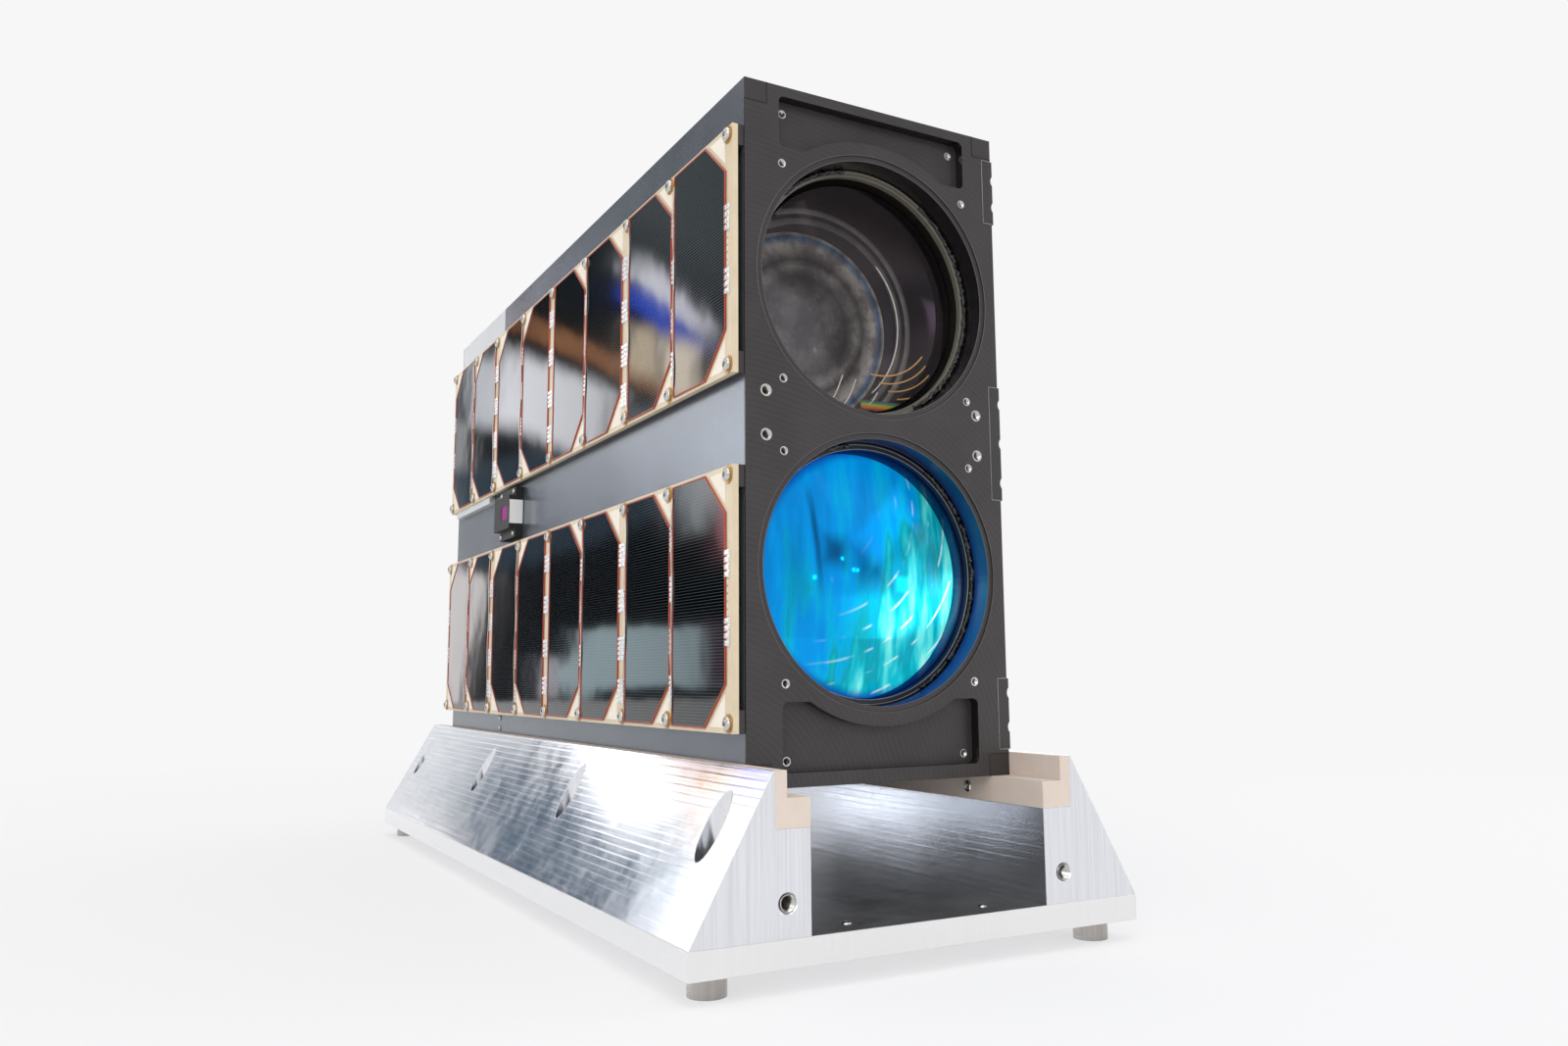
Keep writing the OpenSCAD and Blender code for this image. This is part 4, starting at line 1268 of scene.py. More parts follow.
@dataclass
class Lens:
    """One aperture: its glass, retaining ring, bore and inner cell."""

    level: Level
    glass: Finish
    segments: int = 128
    dome_rings: int = 20
    land: float = 2.3  # the flat edge round the dome
    clearance: float = 0.05
    land_step: float = 0.1
    inner_rise: float = 4.0
    step_out: float = 1.9
    step_in: float = 0.5
    lips: Pair = (2.1, 0.6)  # the ring's bore and its outside, inwards from the lens's edge
    step_line: float = 0.13
    lip_line: float = 0.12
    bead: float = 0.7
    bead_runs: tuple[Pair, ...] = ((-62.0, 118.0), (100.0, 66.0))  # first angle, and how far round
    bead_step: float = 0.625
    bead_out: float = 0.2
    lump: float = 3.0
    lump_size: float = 1.3
    glint_back: float = 1.5
    glint_line: float = 0.26
    gold_arcs: int = 4
    pale_stems: tuple[tuple[float, float, float, float], ...] = (  # place across, foot, top and lean
        (-9.0, -36.6, -27.0, 4.6), (-3.6, -36.9, -28.0, 4.4), (6.2, -36.0, -31.5, 3.4),
    )
    split_foot: float = -37.6
    split_rise: float = 0.36
    split_line: float = 0.24
    split_rows: int = 9

    def __post_init__(self) -> None:
        """Reads the lens's place from the frame."""
        low, high = box_mm(self.node("front_lens"))
        self.centre = (low + high) / 2
        self.radius = (high.x - low.x) / 2
        ring_low, ring_high = box_mm(self.node("lens_ring"))
        self.ring_front, self.ring_back = ring_low.y, ring_high.y
        self.tip, self.back = low.y, high.y

    def node(self, part: str) -> str:
        """Returns the CAD name of one of this lens's parts."""
        return f"{self.level.value}_{part}"

    def dress(self) -> None:
        """Gives the lens's CAD nodes their finishes."""
        dress(BORE_BLACK, self.node("barrel"))
        dress(RETAINER if self.level is Level.UPPER else DARK_RETAINER, self.node("lens_ring"))
        dress(CELL_RING, self.node("inner_cell"))

    def turn_about_axis(self, name: str, rings: list[Ring], y: float, finish: Finish) -> Object:
        """Makes a turned piece about the lens's axis, with its height towards the front.

        Args:
            name: the piece's name.
            rings: the rings, whose heights are measured towards the front.
            y: the place of height 0.
            finish: its finish.

        Returns:
            The piece.
        """
        points, faces = turned(rings, self.segments)
        moved = [(self.centre.x + a, y - h, self.centre.z + b) for a, b, h in points]
        return place_piece(make_mesh(name, moved, faces, smooth=30), finish)

    def dome(self, radius: float, rise: float) -> list[Ring]:
        """Works out a dome that ends in its pole.

        Args:
            radius: its foot's radius.
            rise: its height.

        Returns:
            The rings.
        """
        ball = (radius * radius + rise * rise) / (2 * rise)
        sweep = math.asin(radius / ball)
        steps = [sweep * (1 - i / self.dome_rings) for i in range(self.dome_rings + 1)]
        return [(ball * math.sin(a) if a > 0 else 0.0, ball * math.cos(a) - ball + rise, False)
                for a in steps]

    def build_glass(self) -> Object:
        """Makes the front lens, which stands for its CAD node.

        Returns:
            The piece.
        """
        edge = self.back - self.ring_back
        outside, land = self.radius - self.clearance, self.radius - self.land
        rings = [(0.0, -edge, False), (outside, -edge, False), (outside, -self.clearance, False),
                 (land + self.land_step, -self.clearance, False), *self.dome(land, self.ring_back - self.tip)]
        made = self.turn_about_axis(self.node("front_lens_glass"), rings, self.ring_back, self.glass)
        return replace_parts(made, self.node("front_lens"))

    def build_inner_glass(self) -> Object:
        """Makes the inner lens, which stands for its CAD node.

        Returns:
            The piece.
        """
        low, high = box_mm(self.node("inner_lens"))
        radius = (high.x - low.x) / 2 - self.clearance
        foot = low.y - high.y + self.inner_rise
        rings = [(0.0, foot, False), (radius, foot, False), *self.dome(radius, self.inner_rise)]
        made = self.turn_about_axis(self.node("inner_lens_glass"), rings, low.y + self.inner_rise, DEEP_GLASS)
        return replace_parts(made, self.node("inner_lens"))

    def arc(self, radius: float, y: float, start: float, sweep: float, step: float = 3.0,
            shift: Pair = (0.0, 0.0)) -> list[Point]:
        """Returns points on an arc about the lens's axis.

        Args:
            radius: its radius in millimetres.
            y: its place along the axis.
            start: its first angle in degrees, from +X towards up.
            sweep: how far it goes round.
            step: the angle between points.
            shift: how far its own centre stands from the axis.

        Returns:
            The points.
        """
        count = max(2, int(abs(sweep) / step))
        angles = [math.radians(start + sweep * i / count) for i in range(count + (abs(sweep) < 360))]
        return [(self.centre.x + shift[0] + radius * math.cos(a), y,
                 self.centre.z + shift[1] + radius * math.sin(a)) for a in angles]

    def build_rim_lines(self, face: float) -> list[Object]:
        """Returns the painted highlights on the edges of the aperture's step and bore, and of the retaining
        ring.

        Args:
            face: the front plate's place along Y.

        Returns:
            The pieces.
        """
        step = [self.arc(self.radius + self.step_out, face, 0, 360),
                self.arc(self.radius, face + self.step_in, 0, 360)]
        ring = [self.arc(self.radius - lip, self.ring_front, 0, 360) for lip in self.lips]
        return [draw(self.node("aperture_edges"), step, self.step_line, RIM_HIGHLIGHT, closed=True),
                draw(self.node("ring_edges"), ring, self.lip_line, EDGE_HIGHLIGHT, closed=True)]

    def build_glints(self) -> list[Object]:
        """Makes painted glints, thin bright traces for light on the edges of the deeper optics, and the
        painted light that the rim splits.

        Returns:
            The pieces.
        """
        y = self.back + self.glint_back
        # Each gold arc lies deeper than the last, starts later, and stands further right and lower
        gold = [self.arc(23.0, y + 0.8 * i, -98 + 4 * i, 60 - 6 * i, shift=(10 + 2.6 * i, -2.5 - 2.2 * i))
                for i in range(self.gold_arcs)]
        pale = [self.arc(31.0, y + 2, -48, 92, shift=(-12.0, -8.0)),
                self.arc(36.5, y + 1, -112, 22, shift=(-5, -1))]
        for x, low, high, lean in self.pale_stems:
            pale.append([(self.centre.x + x + lean * t ** 0.7, y, self.centre.z + low + (high - low) * t)
                         for t in (0.0, 0.25, 0.5, 0.75, 1.0)])
        foot = self.centre.z + self.split_foot
        band = [[(self.centre.x + x, y, foot + self.split_rise * i) for x in range(3, 22)]
                for i in range(self.split_rows)]
        return [draw(self.node("gold_glints"), gold, self.glint_line, GOLD_GLINT),
                draw(self.node("pale_glints"), pale, self.glint_line, PALE_GLINT),
                draw(self.node("split_light"), band, self.split_line, SPECTRUM)]

    def build_bead(self) -> Object:
        """Makes the staking adhesive round the retaining ring, in lumpy runs.

        Returns:
            The piece.
        """
        paths = [self.arc(self.radius - self.bead, self.ring_front - self.bead_out, *run, self.bead_step)
                 for run in self.bead_runs]
        return draw(self.node("staking_adhesive"), paths, self.bead, ADHESIVE, lump=self.lump,
                    lump_size=self.lump_size)


@dataclass
class SolarPanel:
    """One board with its cells, edge film, solder, pads and screws."""

    level: Level
    cell_width: float = 40.0
    clip: Pair = (15.0, 13.5)
    film: float = 0.36
    stations: tuple[float, ...] = (0.0, 44.5, 91.8, 133.2, 179.8)
    row_in: float = 3.0
    first_starts: Pair = (4.0, 47.0)  # from the board's middle to the first and second cells
    end_gap: float = 3.0  # between the last two cells
    film_out: float = 0.2
    glass_edge_out: float = 0.1
    glass_edge_up: float = 0.42
    glass_edge_line: float = 0.13
    wire_up: float = 0.7
    wire_in: float = 0.6
    wire_sway: float = 0.8
    wire_turn: float = 5.5
    wire_line: float = 0.18
    wire_reach: int = 36
    pad_in: Pair = (3.2, 3.0)  # from the clipped corner's two ends
    pad_clear: Pair = (0.4, 0.2)
    pad_thickness: float = 0.12
    tab: Pair = (3.2, 9.0)
    end_tab_in: float = 0.5
    end_tab_rises: Pair = (-10.5, 10.5)
    gap_tab_rises: tuple[float, ...] = (-29.0, -13.5, 4.0, 21.0)
    gap_tab_clear: float = 1.3
    gap_tab_in: float = 0.4
    gap_tab_stray: float = 2.0
    middle_tab_rises: tuple[float, ...] = (-27.0, -11.0, 8.0, 26.0)
    middle_tab_aside: float = 0.6
    middle_tab_height: float = 8.0
    middle_tab_clear: float = 2.0
    wide_tab: float = 3.0  # past this width a tab has two columns of lumps
    strip: float = 0.25
    lump: Pair = (0.1, 0.62)  # each lump's foot and top above the board
    lump_shares: Pair = (0.4, 0.38)
    solder_edge: float = 0.2
    dash: Pair = (0.7, 1.6)
    dash_up: float = 0.2
    dash_pitch: float = 2.4
    head_up: float = 0.35

    def __post_init__(self) -> None:
        """Reads the board's place from the frame."""
        self.low, self.high = box_mm(f"{self.level.value}_panel_board")
        self.cells_low, self.cells_high = box_mm(f"{self.level.value}_panel_cells")
        self.mid = (self.low.z + self.high.z) / 2
        reach = self.cells_high.y
        self.starts = [*self.first_starts, reach - (2 * self.cell_width + self.end_gap),
                       reach - self.cell_width]

    def dress(self) -> None:
        """Gives the panel's CAD nodes their finishes."""
        level = self.level.value
        dress(LAMINATE, f"{level}_panel_board")
        dress(CELL, f"{level}_panel_cells")
        dress(BLACK_TRIM, f"{level}_panel_standoffs")

    def outline(self, start: float, side: int, grow: float) -> list[Pair]:
        """Returns a cell's outline on the board.

        Args:
            start: the distance from the board's middle to the cell's near edge.
            side: -1 for the front half, 1 for the rear half.
            grow: how far the outline stands outside the cell.

        Returns:
            Its six corners along and up the board, from the lower near one round the clipped end.
        """
        near, far = start - grow, start + self.cell_width + grow
        z0, z1 = self.cells_low.z - grow, self.cells_high.z + grow
        cy, cz = self.clip
        return [(side * y, z) for y, z in ((near, z0), (far - cy, z0), (far, z0 + cz),
                                           (far, z1 - cz), (far - cy, z1), (near, z1))]

    def cells(self) -> list[tuple[float, int]]:
        """Returns each cell's start and side, from the board's middle outwards."""
        return [(start, side) for start in self.starts for side in (-1, 1)]

    def gap(self, start: float) -> float:
        """Returns the gap between the cell at that start and the next one out."""
        return self.starts[self.starts.index(start) + 1] - start - self.cell_width

    def build_traces(self) -> list[Object]:
        """Makes the edge film, the painted highlights on the cover glass edges, and the wires in the gaps.

        Returns:
            The pieces.
        """
        level, x = self.level.value, self.low.x
        films, edges, wires = [], [], []
        for start, side in self.cells():
            films.append([(x - self.film, y, z) for y, z in self.outline(start, side, self.film_out)])
            # Painted highlights along each cover glass's top and near edges
            inner = self.outline(start, side, self.glass_edge_out)
            edges.append([(x - self.glass_edge_up, y, z) for y, z in (inner[4], inner[5], inner[0])])
            if start != self.starts[-1]:
                middle = start + self.cell_width + self.gap(start) - self.wire_in
                heights = range(-self.wire_reach, self.wire_reach + 1, 2)
                sways = [self.wire_sway * math.sin(z / self.wire_turn + start) for z in heights]
                wires.append([(x - self.wire_up, side * (middle + sway), z + self.mid)
                              for z, sway in zip(heights, sways)])
        return [draw(f"{level}_panel_edge_film", films, self.film, EDGE_FILM, closed=True),
                draw(f"{level}_panel_glass_edges", edges, self.glass_edge_line, CELL_EDGE_HIGHLIGHT),
                draw(f"{level}_panel_wires", wires, self.wire_line, WIRE)]

    def build_pads(self) -> Object:
        """Makes the bare pads at the cells' clipped corners.

        Returns:
            The piece.
        """
        x = self.low.x
        out, up_by = self.pad_clear
        pads = []
        for start, side in self.cells():
            far = start + self.cell_width
            near, end = side * (far - self.clip[0] + self.pad_in[0]), side * (far - out)
            for edge, up in ((self.cells_low.z, 1), (self.cells_high.z, -1)):
                foot, tip = edge + up * up_by, edge + up * (self.clip[1] - self.pad_in[1])
                pads.append([(x, near, foot), (x, end, foot), (x, end, tip)])
        shape = plates(pads, Vector((-self.pad_thickness, 0, 0)))
        return place_piece(make_mesh(f"{self.level.value}_panel_pads", *shape), BARE_PAD)

    def build_solder(self) -> Object:
        """Makes the soldered tabs: boxes rounded over and roughened as solder sets.

        Returns:
            The piece.
        """
        middle = 2 * self.starts[0] - self.middle_tab_clear
        boxes = [box for rise in self.middle_tab_rises for box in
                 self.lumps(self.middle_tab_aside, self.mid + rise, middle, self.middle_tab_height, 2, 4)]
        for start, side in self.cells():
            far = start + self.cell_width
            if start == self.starts[-1]:
                width, height = self.tab
                y = side * (far + width / 2 - self.end_tab_in)
                for rise in self.end_tab_rises:
                    boxes += self.lumps(y, self.mid + rise, width, height, 2, 4)
                continue
            width = self.gap(start) - self.gap_tab_clear
            y = side * (far + self.gap_tab_in + width / 2)
            for rise in self.gap_tab_rises:
                z = self.mid + rise + self.gap_tab_stray * math.sin(start)
                boxes += self.lumps(y, z, width, self.tab[1], 1 + (width > self.wide_tab), 5)
        made = make_mesh(f"{self.level.value}_panel_solder", *slabs(boxes), smooth=60)
        bevel = made.modifiers.new("rounded", "BEVEL")
        bevel.width, bevel.segments = self.solder_edge * MM, 2
        return place_piece(made, SOLDER)

    def build_vias(self) -> Object:
        """Makes the short bare dashes at the board's ends.

        Returns:
            The piece.
        """
        x = self.low.x
        far = self.starts[-1] + self.cell_width
        width, height = self.dash
        dashes = []
        for side in (-1, 1):
            y = side * (far + self.tab[0] / 2 - self.end_tab_in)
            for i in range(-2, 3):
                z = self.mid + self.dash_pitch * i
                dashes.append(((x - self.dash_up, y - width / 2, z - height / 2),
                               (x, y + width / 2, z + height / 2)))
        return place_piece(make_mesh(f"{self.level.value}_panel_vias", *slabs(dashes)), BARE_PAD)

    def build_screws(self) -> list[Object]:
        """Makes the two rows of screws and their washers.

        Returns:
            The pieces.
        """
        level, x = self.level.value, self.low.x
        ys = sorted({side * s for s in self.stations for side in (-1, 1)})
        rows = (self.low.z + self.row_in, self.high.z - self.row_in)
        seats = [((x, y, z), LEFT) for y in ys for z in rows]
        heads = [((x - self.head_up, y, z), axis) for (_, y, z), axis in seats]
        return [WASHER.fit(f"{level}_panel_washers", seats), BUTTON_SCREW.fit(f"{level}_panel_screws", heads)]

    def build(self) -> list[Object]:
        """Makes the board's traces, pads, solder, vias and screws.

        Returns:
            The pieces.
        """
        return [*self.build_traces(), self.build_pads(), self.build_solder(), self.build_vias(),
                *self.build_screws()]

    def lumps(self, y: float, z: float, width: float, height: float, columns: int,
              rows: int) -> list[Box]:
        """Returns the boxes of one soldered tab: a thin strip with a grid of lumps on it.

        Args:
            y: the tab's middle along the board.
            z: its middle up the board.
            width: its width along Y.
            height: its height.
            columns: how many lumps stand side by side.
            rows: how many stand over each other.

        Returns:
            Each box's two far corners.
        """
        x = self.low.x
        foot, top = self.lump
        boxes = [((x - self.strip, y - width / 2, z - height / 2), (x, y + width / 2, z + height / 2))]
        w, h = width / columns, height / rows
        half_w, half_h = self.lump_shares[0] * w, self.lump_shares[1] * h
        for i in range(columns):
            for j in range(rows):
                at_y, at_z = y - width / 2 + (i + 0.5) * w, z - height / 2 + (j + 0.5) * h
                boxes.append(((x - top, at_y - half_w, at_z - half_h),
                              (x - foot, at_y + half_w, at_z + half_h)))
        return boxes


@dataclass
class SunSensor:
    """The sensor on the left side, its window, label and screws."""

    label: Pair = (6.7, 11.5)
    label_in: float = 0.2
    label_thickness: float = 0.12
    ear: float = 4.0
    screw_in: Pair = (2.6, 2.1)  # from the ears' ends, and from their top and foot
    screw_radius: float = 1.3

    def dress(self) -> None:
        """Gives the sensor's CAD nodes their finishes."""
        dress(SENSOR_BLACK, "sun_sensor_body")
        dress(MAGENTA_GLASS, "sun_sensor_window")

    def build(self) -> list[Object]:
        """Makes the blank label on the front face, and the screws of the ears.

        Returns:
            The pieces.
        """
        low, high = box_mm("sun_sensor_body")
        mid = (low.z + high.z) / 2
        width, height = self.label
        sticker = slabs([((low.x + self.label_in, low.y - self.label_thickness, mid - height / 2),
                          (low.x + width, low.y, mid + height / 2))])
        end_in, rise_in = self.screw_in
        places = [((high.x - self.ear, y, z), LEFT) for y in (low.y + end_in, high.y - end_in)
                  for z in (low.z + rise_in, high.z - rise_in)]
        screw = Hardware("ear_screw", SMALL_SCREW.rings, STEEL, self.screw_radius)
        return [place_piece(make_mesh("sun_sensor_label", *sticker), LABEL),
                screw.fit("sun_sensor_screws", places)]


@dataclass
class RearFittings:
    """The access connector's pins, and the antenna's feed and screws."""

    pin_pitch: float = 2.2
    pins: int = 9
    row_gap: float = 2.2
    jack_sunk: float = 1.5
    jack_in: float = 3.0
    feed_rise: float = 6.0
    feed_radius: float = 0.9

    def dress(self) -> None:
        """Gives the rear's CAD nodes their finishes."""
        dress(CONNECTOR, "access_connector")
        dress(SOCKET_PLASTIC, "access_connector_insert")
        dress(CERAMIC, "patch_antenna")

    def build(self) -> list[Object]:
        """Makes the connector's pins, its jack screws, and the antenna's feed.

        Returns:
            The pieces.
        """
        low, high = box_mm("access_connector_insert")
        mid = (low.z + high.z) / 2
        pins = [(((i - (self.pins - 1) / 2) * self.pin_pitch, high.y, mid + row * self.row_gap / 2), BACK)
                for i in range(self.pins) for row in (-1, 1)]
        shell_low, shell_high = box_mm("access_connector")
        jacks = [((x, shell_low.y + self.jack_sunk, mid), BACK)
                 for x in (shell_low.x + self.jack_in, shell_high.x - self.jack_in)]
        patch_low, patch_high = box_mm("patch_antenna")
        centre = (patch_low.z + patch_high.z) / 2
        feed = [((0.0, patch_high.y, centre - self.feed_rise), BACK)]
        feed_pin = Hardware("feed", PIN.rings[:-2] + [(0.0, 0.5, False)], GOLD, self.feed_radius, 16)
        return [PIN.fit("access_connector_pins", pins), SMALL_SCREW.fit("access_connector_jacks", jacks),
                feed_pin.fit("antenna_feed", feed)]


@dataclass
class Cradle:
    """The base plate, blocks, guide strips and feet, with their bolts."""

    bolt_line: float = 16.7
    bolt_end: float = 19.2
    bolt_seat: float = 7.0
    bolts: int = 4
    end_hole_rise: float = 9.5
    block_hole_radius: float = 2.45
    base_hole_end: float = 10.0
    base_screw_sunk: float = 0.4
    base_screw_radius: float = 1.6
    strip_screw_spacing: float = 93.0
    strip_end_closer: float = 16.0
    strip_screw_radius: float = 2.0

    def dress(self) -> None:
        """Gives the cradle's CAD nodes their finishes."""
        dress(MILLED, "cradle_block_left", "cradle_block_right")
        dress(BASE_EDGE, "cradle_base")
        dress(PALE_PLASTIC, "guide_strip_left", "guide_strip_right")
        dress(FOOT, "foot_front_left", "foot_front_right", "foot_rear_left", "foot_rear_right")

    def build(self) -> list[Object]:
        """Makes the block bolts, the threads of the end holes, and the strip and base screws.

        Returns:
            The pieces.
        """
        low, high = box_mm("cradle_base")
        span = high.y - low.y - 2 * self.bolt_end
        ys = [low.y + self.bolt_end + i * span / (self.bolts - 1) for i in range(self.bolts)]
        bolts = [((side * (high.x - self.bolt_line), y, high.z + self.bolt_seat), UP)
                 for side in (-1, 1) for y in ys]
        body_low, body_high = box_mm("left_skin")[0], box_mm("right_skin")[1]
        ends = [((side * body_high.x, y, high.z + self.end_hole_rise), axis)
                for side in (-1, 1) for y, axis in ((low.y, FRONT), (high.y, BACK))]
        threads = Hardware("end_thread", thread(0.99, 0.8, 5.0, 0.32), STEEL, self.block_hole_radius, 36)
        strip_low = box_mm("guide_strip_right")[0]
        seat_z = (strip_low.z + body_low.z) / 2
        spacing = self.strip_screw_spacing
        last = 2 * spacing - self.strip_end_closer
        strips = [((side * strip_low.x, y, seat_z), axis) for side, axis in ((-1, RIGHT), (1, LEFT))
                  for y in (-last, -spacing, 0.0, spacing, last)]
        base = [((side * body_high.x / 2, y, high.z - self.base_screw_sunk), UP) for side in (-1, 1)
                for y in (low.y + self.base_hole_end, high.y - self.base_hole_end)]
        strip_screw = Hardware("strip_screw", SMALL_SCREW.rings, STEEL, self.strip_screw_radius)
        base_screw = Hardware("base_screw", SMALL_SCREW.rings, STEEL, self.base_screw_radius)
        return [CAP_SCREW.fit("cradle_block_bolts", bolts), threads.fit("cradle_end_threads", ends),
                strip_screw.fit("guide_strip_screws", strips), base_screw.fit("cradle_base_screws", base)]


@dataclass(frozen=True)
class RoomShape:
    """A soft-edged oblong in the room, which only gloss shows.

    Places and sizes are tangents of the angles to the side and up, seen from the object.
    """

    half: Half
    centre: Pair
    reach: Pair
    colour: str
    strength: float = 1.0
    turn: float = 0.0
    soft: float = 0.3

    def paint(self, tree: Tree, vector: Socket,
              under: Socket) -> Socket:
        """Lays the shape over the room so far.

        Args:
            tree: the world's tree.
            vector: the direction as side, rise and half.
            under: the room's colour so far.

        Returns:
            The colour with the shape on it.
        """
        local = add(tree, "ShaderNodeMapping", {
            "Vector": vector, "Location": (*self.centre, self.half.value),
            "Rotation": (0.0, 0.0, math.radians(self.turn)), "Scale": (*self.reach, 0.5),
        }, vector_type="TEXTURE")
        away = add(tree, "ShaderNodeVectorMath", {0: local}, operation="ABSOLUTE")
        parts = add(tree, "ShaderNodeSeparateXYZ", {0: away})
        widest = add(tree, "ShaderNodeMath", {0: parts, 1: parts.outputs[1]}, operation="MAXIMUM")
        furthest = add(tree, "ShaderNodeMath", {0: widest, 1: parts.outputs[2]}, operation="MAXIMUM")
        mask = add(tree, "ShaderNodeMapRange", {
            "Value": furthest, "From Min": 1 + self.soft, "From Max": 1 - self.soft,
        }, interpolation_type="SMOOTHSTEP")
        bright = tuple(c * self.strength for c in srgb(self.colour)[:3]) + (1.0,)
        mixed = add(tree, "ShaderNodeMix", {0: mask, 6: under, 7: bright}, data_type="RGBA")
        return mixed.outputs[2]


